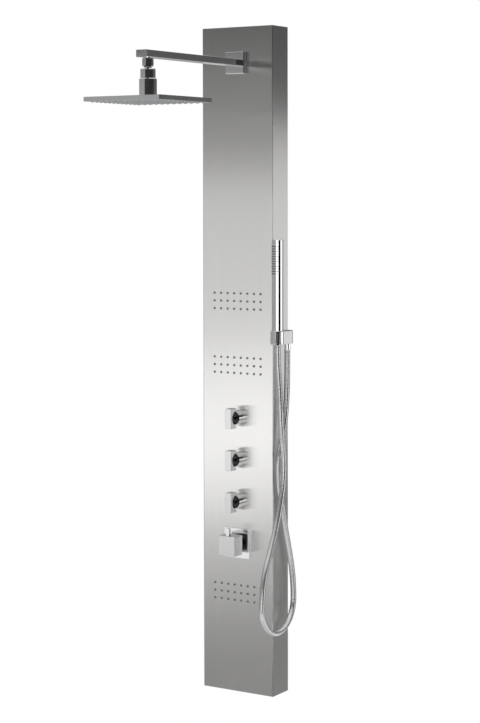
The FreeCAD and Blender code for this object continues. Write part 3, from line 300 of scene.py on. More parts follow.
def add_node(tree, kind, settings=None, **sockets):
    """A shader node with its options, and with values or links in its sockets."""
    node = tree.nodes.new("ShaderNode" + kind)
    for key, value in (settings or {}).items():
        if key == "stops":
            set_stops(node.color_ramp, value)
        else:
            setattr(node, key, value)
    for key, value in sockets.items():
        socket = node.inputs[key.replace("_", " ")]
        if isinstance(value, Value):
            tree.links.new(value.socket, socket)
        else:
            socket.default_value = value
    return node


print("nodes are made by", add_node.__name__)


# %% Socket wrapper
class Value:
    """A socket that can be used in a formula."""

    def __init__(self, tree, socket):
        self.tree = tree
        self.socket = socket

    def maths(self, operation, first, second=None):
        """A Math node between values or numbers."""
        node = add_node(self.tree, "Math", {"operation": operation})
        for index, part in enumerate((first, second)):
            if isinstance(part, Value):
                self.tree.links.new(part.socket, node.inputs[index])
            elif part is not None:
                node.inputs[index].default_value = part
        return Value(self.tree, node.outputs[0])

    def __add__(self, other):
        return self.maths("ADD", self, other)

    __radd__ = __add__

    def __sub__(self, other):
        return self.maths("SUBTRACT", self, other)

    def __rsub__(self, other):
        return self.maths("SUBTRACT", other, self)

    def __mul__(self, other):
        return self.maths("MULTIPLY", self, other)

    __rmul__ = __mul__

    def __pow__(self, other):
        return self.maths("POWER", self, other)

    def sine(self):
        return self.maths("SINE", self)

    def band(self, low, high):
        """0 below low, 1 above high and smooth between."""
        smooth_step = {"interpolation_type": "SMOOTHSTEP"}
        node = add_node(self.tree, "MapRange", smooth_step, Value=self, From_Min=low, From_Max=high)
        return Value(self.tree, node.outputs["Result"])


print("operators", [key for key in vars(Value) if key.startswith("__") and key != "__init__"])


# %% Material builder
class Finish:
    """A material under construction."""

    def __init__(self, name, **constants):
        self.material = bpy.data.materials.new(name)
        self.material.use_nodes = True
        self.tree = self.material.node_tree
        self.shader = self.tree.nodes["Principled BSDF"]
        for key, value in constants.items():
            self.shader.inputs[key.replace("_", " ")].default_value = value

    def value(self, output, kind, settings=None, **sockets):
        """One output of a new node, for use in a formula."""
        return Value(self.tree, add_node(self.tree, kind, settings, **sockets).outputs[output])

    def place(self, stretch=(1, 1, 1)):
        """Object coordinates, scaled so that a pattern can be stretched."""
        return self.value("Vector", "Mapping", Vector=self.value("Object", "TexCoord"), Scale=stretch)

    def noise(self, scale, detail, stretch=(1, 1, 1)):
        return self.value("Fac", "TexNoise", Vector=self.place(stretch), Scale=scale, Detail=detail)

    def feed(self, **sockets):
        """Links values to the shader's own sockets."""
        for key, value in sockets.items():
            self.tree.links.new(value.socket, self.shader.inputs[key.replace("_", " ")])

    def bump(self, height, strength, distance):
        self.feed(Normal=self.value("Normal", "Bump", Height=height, Strength=strength, Distance=distance))

    def colour(self, amount, dark, light):
        """Feeds the base colour; a colour mix has its factor at 0 and its colours at 6 and 7."""
        mix = add_node(self.tree, "Mix", {"data_type": "RGBA"})
        self.tree.links.new(amount.socket, mix.inputs[0])
        mix.inputs[6].default_value = (*dark, 1.0)
        mix.inputs[7].default_value = (*light, 1.0)
        self.feed(Base_Color=Value(self.tree, mix.outputs[2]))


print("finish methods", [key for key in vars(Finish) if not key.startswith("__")])


# %% [markdown]
# ## The metal hose
# The shower hose is a strip of chromed steel wound into a spiral over a rubber
# core. It leaves the hand shower's cone nut, hangs down in a long loop, crosses
# itself twice and comes back up to the outlet nut under the holder.
# A curve with a bevel would give a smooth tube, but a mesh tube that is built
# round the curve's own line can also carry a UV map that counts the turns, and
# the spiral then follows the hose wherever it bends.

# %% Hose centreline
HOSE_DIAMETER = 0.014
SIDE_X = 0.099
# Each point: distance out from the column's side, y, height above the foot.
HOSE_POINTS = [
    (0.0200, -0.0800, 0.8460), (0.0200, -0.0800, 0.7980), (0.0245, -0.0790, 0.7420),
    (0.0285, -0.0820, 0.6880), (0.0295, -0.0780, 0.6320), (0.0295, -0.0660, 0.5750),
    (0.0290, -0.0690, 0.5200), (0.0270, -0.0800, 0.4650), (0.0240, -0.0950, 0.4120),
    (0.0215, -0.1155, 0.3620), (0.0200, -0.1405, 0.3120), (0.0200, -0.1525, 0.2560),
    (0.0200, -0.1525, 0.2089), (0.0200, -0.1248, 0.1708), (0.0200, -0.0800, 0.1563),
    (0.0200, -0.0352, 0.1708), (0.0200, -0.0075, 0.2089), (0.0200, -0.0075, 0.2560),
    (0.0185, -0.0120, 0.3040), (0.0165, -0.0240, 0.3540), (0.0145, -0.0375, 0.4060),
    (0.0125, -0.0480, 0.4600), (0.0103, -0.0620, 0.5160), (0.0108, -0.0640, 0.5720),
    (0.0142, -0.0490, 0.6240), (0.0160, -0.0370, 0.6760), (0.0180, -0.0345, 0.7290),
    (0.0200, -0.0360, 0.7830), (0.0200, -0.0360, 0.8310),
]


def nurbs_line(points, name):
    """Smooth line with the points as its control points, read back as a list."""
    curve = bpy.data.curves.new(name, "CURVE")
    curve.dimensions = "3D"
    curve.resolution_u = 24
    spline = curve.splines.new("NURBS")
    spline.points.add(len(points) - 1)
    for point, place in zip(spline.points, points):
        point.co = (*place, 1.0)
    spline.order_u = 3
    spline.use_endpoint_u = True
    holder = bpy.data.objects.new(name, curve)
    bpy.context.scene.collection.objects.link(holder)
    bpy.context.view_layer.update()
    line_mesh = bpy.data.meshes.new_from_object(holder)
    line = [vertex.co.copy() for vertex in line_mesh.vertices]
    bpy.data.objects.remove(holder)
    bpy.data.meshes.remove(line_mesh)
    return line


hose_control = [(SIDE_X + out, y, FOOT_Z + height) for out, y, height in HOSE_POINTS]
hose_line = nurbs_line(hose_control, "hose_line")
hose_length = sum((b - a).length for a, b in zip(hose_line, hose_line[1:]))
print("hose length", round(hose_length, 4), "points", len(hose_line))


# %% [markdown]
# The tube takes a ring of points at each step along the line. Each ring is
# turned as little as possible from the one before, so the spiral does not
# twist. The length along the line goes into the UV map, in metres.

# %% Hose tube
HOSE_SIDES = 20
HOSE_STEP = 0.004


def even_steps(line, step):
    """Points at even distances along a line, with the distance of each."""
    total = sum((b - a).length for a, b in zip(line, line[1:]))
    count = round(total / step)
    places = []
    walked = 0.0
    index = 0
    for k in range(count + 1):
        target = total * k / count
        while index < len(line) - 2 and walked + (line[index + 1] - line[index]).length < target:
            walked += (line[index + 1] - line[index]).length
            index += 1
        share = min(1.0, (target - walked) / (line[index + 1] - line[index]).length)
        places.append((line[index].lerp(line[index + 1], share), target))
    return places


def tube_round(line, radius, sides, step, name):
    """A tube round a line, whose UV map holds the length along it and the share of the way round."""
    places = even_steps(line, step)
    mesh = bpy.data.meshes.new(name)
    build = bmesh.new()
    uv = build.loops.layers.uv.new("UVMap")
    side = Vector((1, 0, 0))
    rings = []
    for index, (spot, _) in enumerate(places):
        before = places[max(0, index - 1)][0]
        after = places[min(len(places) - 1, index + 1)][0]
        way = (after - before).normalized()
        side = (side - way * side.dot(way)).normalized()
        across = way.cross(side)
        ring = []
        for k in range(sides):
            angle = 2 * math.pi * k / sides
            offset = side * math.cos(angle) + across * math.sin(angle)
            ring.append(build.verts.new(spot + offset * radius))
        rings.append(ring)
    for index in range(len(rings) - 1):
        for k in range(sides):
            following = (k + 1) % sides
            face = build.faces.new(
                (rings[index][k], rings[index][following], rings[index + 1][following], rings[index + 1][k])
            )
            face.smooth = True
            along = (places[index][1], places[index][1], places[index + 1][1], places[index + 1][1])
            around = (k / sides, (k + 1) / sides, (k + 1) / sides, k / sides)
            for loop, u, v in zip(face.loops, along, around):
                loop[uv].uv = (u, v)
    for ring, flip in ((rings[0], True), (rings[-1], False)):
        cap = build.faces.new(list(reversed(ring)) if flip else ring)
        cap.smooth = False
    build.to_mesh(mesh)
    build.free()
    tube = bpy.data.objects.new(name, mesh)
    bpy.context.scene.collection.objects.link(tube)
    return tube


hose = tube_round(hose_line, HOSE_DIAMETER / 2, HOSE_SIDES, HOSE_STEP, "hose_metal_spiral")
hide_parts("shower_hose")
print("hose faces", len(hose.data.polygons))


# %% [markdown]
# ## Brushed sheet
# The column is ground with an abrasive belt that runs along it, so it is full
# of fine upright scratches. They blur a reflection sideways much more than up
# and down. Thousands of modelled scratches would be too heavy, so an
# anisotropic gloss does the blur and a noise that is stretched along the
# scratches gives the visible streaks.

# %% Brushed steel
def brushed_steel():
    finish = Finish("brushed_steel_sheet", Metallic=1.0, Anisotropic=0.9)
    fine = finish.noise(1.0, 2.0, (2600, 2600, 6))
    broad = finish.noise(1.0, 3.0, (260, 260, 1.6))
    hands = finish.noise(5.0, 4.0)
    streaks = fine * 0.6 + broad * 0.4
    finish.colour(streaks, (0.60, 0.595, 0.585), (0.74, 0.735, 0.725))
    finish.feed(Roughness=streaks * 0.05 + hands * 0.03 + 0.20)
    finish.bump(streaks, 0.04, 0.0002)
    return finish.material


steel_sheet = brushed_steel()
print("made", steel_sheet.name)


# %% [markdown]
# ## Polished chrome
# The arm, the head and the hand shower are chrome plated. A real plating is never perfectly even: it has a
# slight orange peel and faint wipe marks. A large soft noise in the roughness and a very low bump give both.
# The same recipe with a very dark tone is painted shade on the mixer's sleeve, the knobs' spindles and the
# bonnets' noses. With more roughness it is the satin plating of the handles, so one function with a few
# numbers makes all three.

# %% Chrome
def chrome(name, tone=0.86, rough=0.035):
    finish = Finish(name, Metallic=1.0)
    wipes = finish.noise(26.0, 4.0, (1, 1, 0.35))
    ripple = finish.noise(70.0, 1.0)
    finish.colour(wipes, (tone * 0.965, tone * 0.97, tone * 0.975), (tone, tone, tone))
    finish.feed(Roughness=wipes * 0.05 + rough)
    finish.bump(ripple, 0.02, 0.001)
    return finish.material


bright = chrome("bright_chrome")
# Painted shade: a near-black chrome for the fittings that sit in shade and dark reflections.
painted_shade_chrome = chrome("painted_shade_chrome", 0.05, 0.05)
satin_chrome = chrome("satin_alloy", 0.72, 0.26)
print("made", bright.name, painted_shade_chrome.name, satin_chrome.name)


# %% [markdown]
# ## Galvanised brackets and turned brass
# The wall brackets are zinc coated, with the cloudy pattern that zinc has.
# The fittings behind the sheet are turned brass, a little darker where the
# casting was not machined.

# %% Bracket and brass
def galvanised():
    finish = Finish("galvanised_bracket", Metallic=1.0)
    flakes = finish.value("Distance", "TexVoronoi", {"feature": "F1"}, Vector=finish.place(), Scale=90.0)
    finish.colour(flakes, (0.48, 0.49, 0.50), (0.68, 0.69, 0.70))
    finish.feed(Roughness=flakes * 0.2 + 0.34)
    finish.bump(flakes, 0.08, 0.0003)
    return finish.material


def turned_brass():
    finish = Finish("turned_brass", Metallic=1.0)
    patches = finish.noise(40.0, 4.0)
    finish.colour(patches, (0.50, 0.36, 0.15), (0.76, 0.60, 0.30))
    finish.feed(Roughness=patches * 0.18 + 0.24)
    finish.bump(patches, 0.1, 0.0004)
    return finish.material


zinc = galvanised()
brass = turned_brass()
print("made", zinc.name, brass.name)


# %% [markdown]
# ## Silicone, moulded plastic and hose braid
# The nozzles are soft silicone: grey for the body jets, pale for the rain head
# and dark for the hand shower. The water boxes behind the jets are moulded in
# off-white plastic with a fine spark-eroded grain. The hidden hoses have a woven
# steel braid, which is two diagonal waves that cross each other.

# %% Silicone, plastic and braid
def silicone(name, dark, light):
    finish = Finish(name, Roughness=0.5)
    dust = finish.noise(300.0, 3.0)
    finish.colour(dust, dark, light)
    finish.feed(Roughness=dust * 0.15 + 0.42)
    finish.bump(dust, 0.15, 0.0001)
    return finish.material


def moulded_plastic():
    finish = Finish("moulded_plastic", Roughness=0.45)
    grain = finish.noise(900.0, 2.0)
    cloud = finish.noise(12.0, 2.0)
    finish.colour(cloud, (0.66, 0.65, 0.62), (0.78, 0.77, 0.74))
    finish.feed(Roughness=cloud * 0.1 + 0.42)
    finish.bump(grain, 0.2, 0.0001)
    return finish.material


def diagonal_wave(finish, stretch):
    bands = {"wave_type": "BANDS", "bands_direction": "DIAGONAL"}
    return finish.value("Fac", "TexWave", bands, Vector=finish.place(stretch), Scale=120.0, Distortion=0.5)


def braid():
    finish = Finish("steel_braid", Metallic=1.0)
    wires = diagonal_wave(finish, (1, 1, 1)) * diagonal_wave(finish, (1, -1, -1))
    finish.colour(wires, (0.28, 0.28, 0.29), (0.66, 0.66, 0.67))
    finish.feed(Roughness=0.5 - wires * 0.2)
    finish.bump(wires, 0.5, 0.0006)
    return finish.material


grey_silicone = silicone("grey_silicone", (0.20, 0.205, 0.21), (0.28, 0.285, 0.29))
dark_silicone = silicone("dark_silicone", (0.05, 0.05, 0.055), (0.09, 0.09, 0.095))
pale_silicone = silicone("pale_silicone", (0.42, 0.43, 0.44), (0.55, 0.56, 0.57))
plastic = moulded_plastic()
steel_braid = braid()
print("made", grey_silicone.name, dark_silicone.name, pale_silicone.name, plastic.name, steel_braid.name)


# %% [markdown]
# The hose's spiral is drawn from its UV map: the distance along the hose plus the share of the way round it
# makes one winding. Each winding is a rounded strip, and the groove beside it is painted dark as shade.

# %% Metal spiral
SPIRAL_PITCH = 0.0032


def metal_spiral():
    finish = Finish("metal_spiral", Metallic=1.0)
    uv = finish.value("UV", "UVMap", {"uv_map": "UVMap"})
    along = finish.value("X", "SeparateXYZ", Vector=uv)
    around = finish.value("Y", "SeparateXYZ", Vector=uv)
    turns = along * (1.0 / SPIRAL_PITCH) + around
    wave = (turns * (2 * math.pi)).sine() * 0.5 + 0.5
    crest = wave ** 0.6
    # Painted shade: the colour darkens in the groove between windings.
    finish.colour(crest.band(0.02, 0.35), (0.32, 0.32, 0.33), (0.80, 0.80, 0.81))
    finish.feed(Roughness=0.26 - crest * 0.12)
    finish.bump(crest, 0.2, 0.0005)
    return finish.material


coat(hose, metal_spiral())
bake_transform(hose, "column", "handset", start=(0.119, -0.08, -1.1), end=(0.119, -0.08, -0.56))
print("hose material", hose.data.materials[0].name)


# %% [markdown]
# A point of the hose follows the hand shower by its share of the way along the
# hose, not by its height, because the strand that goes back up to the outlet
# has to stay where it is.

# %% Hose weights
def weigh_by_length(tube, line, whole, free):
    """Blend weight 1 up to one share of the line's length, falling to 0 at another."""
    weights = tube.data.attributes["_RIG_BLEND"].data
    count = len(even_steps(line, HOSE_STEP))
    for index in range(count):
        share = index / (count - 1)
        along = min(1.0, max(0.0, (share - whole) / (free - whole)))
        weight = 1.0 - along * along * (3 - 2 * along)
        for k in range(HOSE_SIDES):
            weights[index * HOSE_SIDES + k].value = weight


weigh_by_length(hose, hose_line, whole=0.01, free=0.46)


# %% [markdown]
# ## Finishes on the CAD nodes
# A flat or hidden node can keep its own mesh and only get a material. A round
# or folded node would show its facets in the reflections, because the packed
# mesh is made of loose triangles. For those a copy is made, its doubles are
# merged, its soft edges are shaded smooth, and it stands in for the node.

# %% Materials by node
FINISH_OF_SLOT = {
    "brushed_sheet": steel_sheet, "bracket_steel": zinc, "chrome_trim": bright,
    "brass_valve": brass, "handle_alloy": satin_chrome, "nozzle_silicone": grey_silicone,
    "water_box": plastic, "hose_line": steel_braid, "handset_body": bright,
}
slot_of_node = {entry["node"]: entry["material_slot"] for entry in frame["record"]["subparts"]}
for name, node in nodes.items():
    slot = slot_of_node[name]
    if slot in FINISH_OF_SLOT:
        coat(node, FINISH_OF_SLOT[slot])
print("finished nodes", len(nodes))


# %% Smooth copies
DOUBLES_WITHIN = 0.000002


def body_of(node_name):
    for body, members in frame["record"]["behaviour"]["bodies"].items():
        if node_name in members:
            return body


def smooth_copy(node_name):
    """A merged, smooth-shaded copy of a CAD node that stands in for it."""
    twin = copy_piece(nodes[node_name], node_name + "_smooth")
    twin.parent = None
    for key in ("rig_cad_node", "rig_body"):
        if key in twin:
            del twin[key]
    make_active(twin)
    bpy.ops.object.mode_set(mode="EDIT")
    bpy.ops.mesh.select_all(action="SELECT")
    bpy.ops.mesh.remove_doubles(threshold=DOUBLES_WITHIN)
    bpy.ops.mesh.customdata_custom_splitnormals_clear()
    object_mode()
    smooth_by_angle(twin)
    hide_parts(node_name)
    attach(twin, body_of(node_name))
    return twin


KNOBS = ("head", "jets", "handset")
SMOOTH_NODES = [
    "arm_tube", "ball_nipple", "ball_nut", "head_neck", "head_shell", "mixer_dome", "mixer_lever",
    "mixer_handle", "handset_holder", "hose_cone_nut",
    "mixer_plate", "arm_elbow", "valve_column", "mixer_body", "head_pipe", "jet_pipe_upper",
    "jet_pipe_lower", "jet_pipe_link", "handset_pipe", "side_elbow", "column_shell",
]
for knob in KNOBS:
    SMOOTH_NODES += ["knob_bonnet_" + knob, "knob_handle_" + knob, "knob_spindle_" + knob]
smooth = {name: smooth_copy(name) for name in SMOOTH_NODES}
print("smooth copies", len(smooth))


# %% [markdown]
# The mixer's sleeve, the knobs' spindles and the round nose of each bonnet, over which the knob's arch turns,
# get a near-black chrome. It is painted shade, standing in for the shade and the dark reflections in the gap
# behind the cube and inside the arches. The nose is one solid with the chrome barrel behind it, so its faces
# get a second material instead of being cut off.

# %% Painted shade on the fittings
def paint_faces(piece, material, wanted):
    """Gives the wanted faces a material of their own."""
    piece.data.materials.append(material)
    pick_faces(piece, wanted)
    piece.active_material_index = len(piece.data.materials) - 1
    bpy.ops.object.material_slot_assign()
    object_mode()


SHEET_FRONT_Y = -0.070
BARREL_LENGTH = 0.019
NOSE_Y = SHEET_FRONT_Y - BARREL_LENGTH


def on_nose(face):
    return face.calc_center_median().y < NOSE_Y


# Painted shade: near-black chrome on the sleeve, the bonnets' noses and the spindles.
coat(smooth["mixer_dome"], painted_shade_chrome)
for knob in KNOBS:
    paint_faces(smooth["knob_bonnet_" + knob], painted_shade_chrome, on_nose)
    coat(smooth["knob_spindle_" + knob], painted_shade_chrome)
print("dark noses in front of y", NOSE_Y)


# %% [markdown] ## The nozzles All nozzles are silicone so that lime can be rubbed
# off. Each kind is modelled once as a short upright cylinder: its rim is
# bevelled, its top is inset and sunk for the bore, and the model is then turned
# and copied to every place. The copies fit over the plain tips of the CAD model.

# %% Nozzle model
def nozzle_model(radius, length, bore, rim, sides, name):
    """A nozzle that stands on z = 0, with a softened rim and a sunk bore."""
    piece = cylinder(radius, 0.0, length, (0, 0), sides, name)
    pick_edges(piece, lambda edge: all(vertex.co.z > length - TOUCHING for vertex in edge.verts))
    bpy.ops.mesh.bevel(offset=rim, segments=2)
    object_mode()
    pick_faces(piece, faces_up)
    bpy.ops.mesh.inset(thickness=radius - rim - bore, depth=0.0)
    bpy.ops.mesh.inset(thickness=bore * 0.2, depth=-length * 0.5)
    object_mode()
    return smooth_by_angle(piece, 40)


def fit_out(piece, node_name, material):
    """Finish and body of a piece that dresses a CAD node."""
    coat(piece, material)
    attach(piece, body_of(node_name))


# %% Body jets
JET_PITCH = 0.0186
JET_ROWS = 3
JET_COLUMNS = 8
JET = {"radius": 0.00285, "length": 0.0018, "bore": 0.0009, "rim": 0.0007, "sides": 20}
JET_SUNK = 0.0004
FACING_FRONT = Matrix.Rotation(math.radians(90), 4, "X")
for name in ("upper", "middle", "lower"):
    mat = "jet_nozzle_mat_" + name
    middle = box_of(mat)[2]
    places = []
    for up in centred(JET_ROWS, JET_PITCH):
        for x in centred(JET_COLUMNS, JET_PITCH):
            spot = (x, SHEET_FRONT_Y + JET_SUNK, middle[2] + up)
            places.append(Matrix.Translation(spot) @ FACING_FRONT)
    jets = repeat(nozzle_model(**JET, name="jet_model"), places, "jet_nozzles_" + name)
    fit_out(jets, mat, grey_silicone)
print("jet faces", len(jets.data.polygons))


# %% Rain head nozzles
HEAD_PITCH = 0.016
HEAD_ROWS = 12
HEAD_JET = {"radius": 0.00215, "length": 0.0022, "bore": 0.0007, "rim": 0.0005, "sides": 16}
HEAD_JET_ROOT = 0.0019
FACING_DOWN = Matrix.Rotation(math.radians(180), 4, "X")
low, _, middle = box_of("head_nozzle_mat")
places = []
for back in centred(HEAD_ROWS, HEAD_PITCH):
    for side in centred(HEAD_ROWS, HEAD_PITCH):
        spot = (middle[0] + side, middle[1] + back, low[2] + HEAD_JET_ROOT)
        places.append(Matrix.Translation(spot) @ FACING_DOWN)
head_nozzles = repeat(nozzle_model(**HEAD_JET, name="head_nozzle_model"), places, "head_nozzles")
fit_out(head_nozzles, "head_nozzle_mat", pale_silicone)
coat(nodes["head_nozzle_mat"], pale_silicone)
print("head nozzle faces", len(head_nozzles.data.polygons))


# %% [markdown]
# ## The hand shower
# The body is one turned stick with a softened top. Its spray face is a curved
# plate, cut from a slightly wider cylinder by deleting the faces that do not
# point forward, then given a thickness and a bevel by modifiers.

# %% Hand shower body
HAND_RIM = 0.0009
CAP_INSET = 0.0035
CAP_GROOVE = {"thickness": 0.0003, "depth": -0.0004}
low, high, middle = box_of("handset_tube")
hand_radius = (high[0] - low[0]) / 2
hand_x = middle[0]
hand_y = high[1] - hand_radius
hand_body = cylinder(hand_radius, low[2], high[2], (hand_x, hand_y), 96, "hand_shower_body")
pick_edges(hand_body, is_level)
bpy.ops.mesh.bevel(offset=HAND_RIM, segments=3)
object_mode()
pick_faces(hand_body, faces_up)
bpy.ops.mesh.inset(thickness=CAP_INSET, depth=0.0)
bpy.ops.mesh.inset(**CAP_GROOVE)
object_mode()
smooth_by_angle(hand_body, 35)
fit_out(hand_body, "handset_tube", bright)
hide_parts("handset_tube")
print("hand shower faces", len(hand_body.data.polygons))


# %% Spray plate
HALF_SPRAY = math.radians(42)
PLATE_PROUD = 0.0006
PLATE_THICK = 0.0012
PLATE_RIM = 0.0003
face_low, face_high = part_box("handset_spray_face")
plate = cylinder(hand_radius + PLATE_PROUD, face_low[2], face_high[2], (hand_x, hand_y), 120, "spray_plate")


def off_plate(face):
    middle = face.calc_center_median()
    turn = math.atan2(middle.x - hand_x, hand_y - middle.y)
    return abs(face.normal.z) > 0.5 or abs(turn) > HALF_SPRAY


pick_faces(plate, off_plate)
bpy.ops.mesh.delete(type="FACE")
object_mode()
thick = plate.modifiers.new("thickness", "SOLIDIFY")
thick.thickness = PLATE_THICK
thick.offset = -1.0
rounded = plate.modifiers.new("rounded", "BEVEL")
rounded.width = PLATE_RIM
rounded.segments = 2
apply_all(plate)
smooth_by_angle(plate, 35)
fit_out(plate, "handset_spray_face", bright)
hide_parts("handset_spray_face")
print("spray plate faces", len(plate.data.polygons))


# %% Spray nozzles
SPRAY_ROWS = 12
SPRAY_JET = {"radius": 0.00125, "length": 0.0016, "bore": 0.0004, "rim": 0.0004, "sides": 12}
SPRAY_SUNK = 0.0003
reach = Matrix.Translation((0, -(hand_radius + PLATE_PROUD - SPRAY_SUNK), 0))
places = []
for row in range(SPRAY_ROWS):
    z = face_low[2] + (row + 1) * (face_high[2] - face_low[2]) / (SPRAY_ROWS + 1)
    for degrees in (-32, -16, 0, 16, 32):
        turn = Matrix.Rotation(math.radians(degrees), 4, "Z")
        places.append(Matrix.Translation((hand_x, hand_y, z)) @ turn @ reach @ FACING_FRONT)
spray_nozzles = repeat(nozzle_model(**SPRAY_JET, name="spray_model"), places, "spray_nozzles")
fit_out(spray_nozzles, "handset_spray_face", dark_silicone)
print("spray nozzle faces", len(spray_nozzles.data.polygons))


# %% [markdown]
# The outlet nut below the holder is tightened by hand, so it is knurled. The
# knurl is every second side face of a cylinder, raised by an inset of its own.

# %% Outlet nut
NUT_SIDES = 80
NUT_RIM = 0.0012
KNURL_ROOM = 0.0004
KNURL = {"thickness": 0.00012, "depth": 0.0003}
SMALLEST_SIDE = 0.000008
low, high, nut_middle = box_of("outlet_nut")
nut_radius = (high[0] - low[0]) / 2 - KNURL_ROOM
nut = cylinder(nut_radius, low[2], high[2], nut_middle, NUT_SIDES, "outlet_nut_knurled")
pick_edges(nut, is_level)
bpy.ops.mesh.bevel(offset=NUT_RIM, segments=2)
object_mode()


def every_second_side(face):
    """True for every second upright face. The bevels' faces are smaller than that."""
    middle = face.calc_center_median()
    turn = math.atan2(middle.y - nut_middle[1], middle.x - nut_middle[0])
    number = round(turn / math.radians(360 / NUT_SIDES) - 0.5)
    return face.calc_area() > SMALLEST_SIDE and abs(face.normal.z) < 0.1 and number % 2 == 0


pick_faces(nut, every_second_side)
bpy.ops.mesh.inset(use_individual=True, **KNURL)
object_mode()
smooth_by_angle(nut, 20)
fit_out(nut, "outlet_nut", bright)
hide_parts("outlet_nut")
print("outlet nut faces", len(nut.data.polygons))


# %% [markdown]
# ## Floor and light
# The object hangs clear of the floor, so the floor is a plain disc well below
# its foot. The light is a studio tent: two white walls with a black flag
# between them on the right, a window in front, grey cloth elsewhere, and a
# bright ceiling. Polished metal shows nothing but its surroundings, so the walls
# and the flag draw the upright white and black lines on the hand shower and the
# collars.

# %% Floor
FLOOR_Z = FOOT_Z - 0.65
clear_selection()
bpy.ops.mesh.primitive_circle_add(vertices=96, radius=0.8, fill_type="NGON", location=(0, -0.1, FLOOR_Z))
floor = settle(bpy.context.object, "floor_disc")
pick_faces(floor, lambda face: True)
bpy.ops.mesh.inset(thickness=0.04, depth=0.0)
object_mode()
floor_finish = Finish("pale_floor", Roughness=0.7)
mottle = floor_finish.noise(3.0, 4.0)
floor_finish.colour(mottle, (0.82, 0.82, 0.82), (0.86, 0.86, 0.86))
coat(floor, floor_finish.material)
print("floor at", round(FLOOR_Z, 3))


# %% [markdown]
# The whole tent is in the world's own formula. Its grey changes with the height
# of a ray above the horizon, and each cloth is a patch between two compass
# directions and two heights, all in degrees. Straight in front is 0, and the
# directions grow to the right. The camera sees plain white instead.

# %% Tent
# Height, brightness.
TENT_BY_HEIGHT = [
    (-90, 0.85), (-30, 0.85), (-20, 0.56), (-15, 0.23), (-12, 0.33), (-2, 0.36),
    (2.2, 0.41), (3.8, 0.29), (4.9, 0.03), (9, 0.03), (18, 0.60), (40, 0.80), (90, 0.80),
]
# Left and right edge, lower and upper edge, brightness.
CLOTHS = {
    "front window": (-48.0, -18.0, -9.6, -5.6, 0.97),
    "front window foot": (-48.0, -18.0, -12.4, -9.6, 0.92),
    "front window top": (-48.0, -18.0, 8.5, 14.0, 0.75),
    "left white wall": (-2.0, 44.0, -9.8, 0.8, 1.80),
    "left white wall foot": (-2.0, 27.0, -14.0, -9.8, 1.80),
    "black flag": (44.0, 90.0, -14.0, 0.8, 0.004),
    "right white wall": (90.0, 112.0, -14.0, 0.8, 1.80),
    "black top": (-9.0, 118.0, 0.8, 20.0, 0.03),
    "black foot": (-9.0, 118.0, -20.0, -14.0, 0.03),
    "right wall": (117.0, 182.0, -14.0, 2.0, 0.27),
    "right window": (136.0, 162.0, -7.0, 1.0, 0.75),
    "right top": (117.0, 182.0, 2.0, 20.0, 0.10),
}
SIDE_SOFTNESS = 1.5
TOP_SOFTNESS = 0.8


def within(value, low, high, soft):
    """1 between low and high, with soft edges."""
    return value.band(low - soft, low + soft) * (1.0 - value.band(high - soft, high + soft))


def grey_by_height(tree, elevation):
    """The tent's grey at a height, from a ramp that runs from straight down to straight up."""
    stops = [((degrees + 90) / 180, grey) for degrees, grey in TENT_BY_HEIGHT]
    ramp = add_node(tree, "ValToRGB", {"stops": stops}, Fac=(elevation + 90.0) * (1 / 180))
    return Value(tree, ramp.outputs["Color"])


def tent_brightness(tree):
    """Brightness of the studio tent by height above the horizon and by compass side."""
    direction = Value(tree, add_node(tree, "TexCoord").outputs["Generated"])
    parts = add_node(tree, "SeparateXYZ", Vector=direction)
    x, y, z = (Value(tree, parts.outputs[axis]) for axis in "XYZ")
    degree = 180 / math.pi
    elevation = z.maths("ARCSINE", z) * degree
    azimuth = x.maths("ARCTAN2", x, y * -1.0) * degree
    level = grey_by_height(tree, elevation)
    for left, right, bottom, top, brightness in CLOTHS.values():
        cover = within(azimuth, left, right, SIDE_SOFTNESS) * within(elevation, bottom, top, TOP_SOFTNESS)
        level = level * (1.0 - cover) + cover * brightness
    return level


print("tent stops", len(TENT_BY_HEIGHT), "cloths", len(CLOTHS))


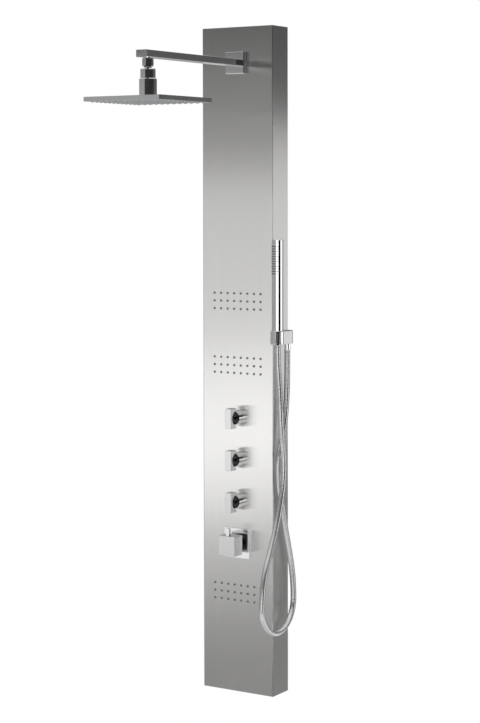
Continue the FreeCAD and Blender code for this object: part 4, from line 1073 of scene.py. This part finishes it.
# %% World
WHITE = (1, 1, 1, 1)
world = bpy.data.worlds.new("studio")
bpy.context.scene.world = world
world.use_nodes = True
world_tree = world.node_tree
world_tree.nodes.clear()
tent = add_node(world_tree, "Background", Color=WHITE, Strength=tent_brightness(world_tree))
backdrop = add_node(world_tree, "Background", Color=WHITE, Strength=1.0)
to_camera = Value(world_tree, add_node(world_tree, "LightPath").outputs["Is Camera Ray"])
mix = add_node(world_tree, "MixShader", Fac=to_camera)
# Both shader sockets of the mix have the same name, so they are linked by number.
world_tree.links.new(tent.outputs[0], mix.inputs[1])
world_tree.links.new(backdrop.outputs[0], mix.inputs[2])
add_node(world_tree, "OutputWorld", Surface=Value(world_tree, mix.outputs[0]))
print("world nodes", len(world_tree.nodes))


# %% [markdown]
# The column's own glow comes from long soft boxes: two are mirrored in the
# front, the smaller one for its brightest belt, and one in the right side. They
# are linked to the sheet and the handles, which are satin, because in the
# polished pieces they would show as hard white stripes. Without the link the
# polish and the satin could not both be right under one light.

# %% Soft boxes
def soft_lamp(name, place, target, size, power, lit=()):
    """A rectangular lamp aimed at a target, that lights only the pieces in lit if there are any."""
    lamp_data = bpy.data.lights.new(name, "AREA")
    lamp_data.shape = "RECTANGLE"
    lamp_data.size = size[0]
    lamp_data.size_y = size[1]
    lamp_data.energy = power
    lamp = bpy.data.objects.new(name, lamp_data)
    lamp.location = place
    way = Vector(target) - Vector(place)
    lamp.rotation_euler = way.to_track_quat("-Z", "Y").to_euler()
    bpy.context.scene.collection.objects.link(lamp)
    if lit:
        receivers = bpy.data.collections.new(name + "_receivers")
        for piece in lit:
            receivers.objects.link(piece)
        lamp.light_linking.receiver_collection = receivers


SATIN_NODES = ["column_shell", "mixer_handle"] + ["knob_handle_" + knob for knob in KNOBS]
satin = [smooth[name] for name in SATIN_NODES]
soft_lamp("front_box", (-2.4, -3.8, -0.93), (0, -0.07, -0.60), (3.2, 1.66), 8.9, satin)
soft_lamp("front_box_core", (-2.4, -3.78, -1.25), (0, -0.07, -0.72), (3.2, 0.6), 1.3, satin)
soft_lamp("side_box", (2.4, 3.7, -0.62), (SIDE_X, 0, -0.45), (3.2, 1.5), 4.8, satin)
soft_lamp("key_lamp", (-1.2, -2.2, 3.2), (0, -0.1, -0.6), (1.6, 1.6), 20.0)
print("lamps", len(bpy.data.lights))


# %% View transform
bpy.context.scene.view_settings.view_transform = "Standard"
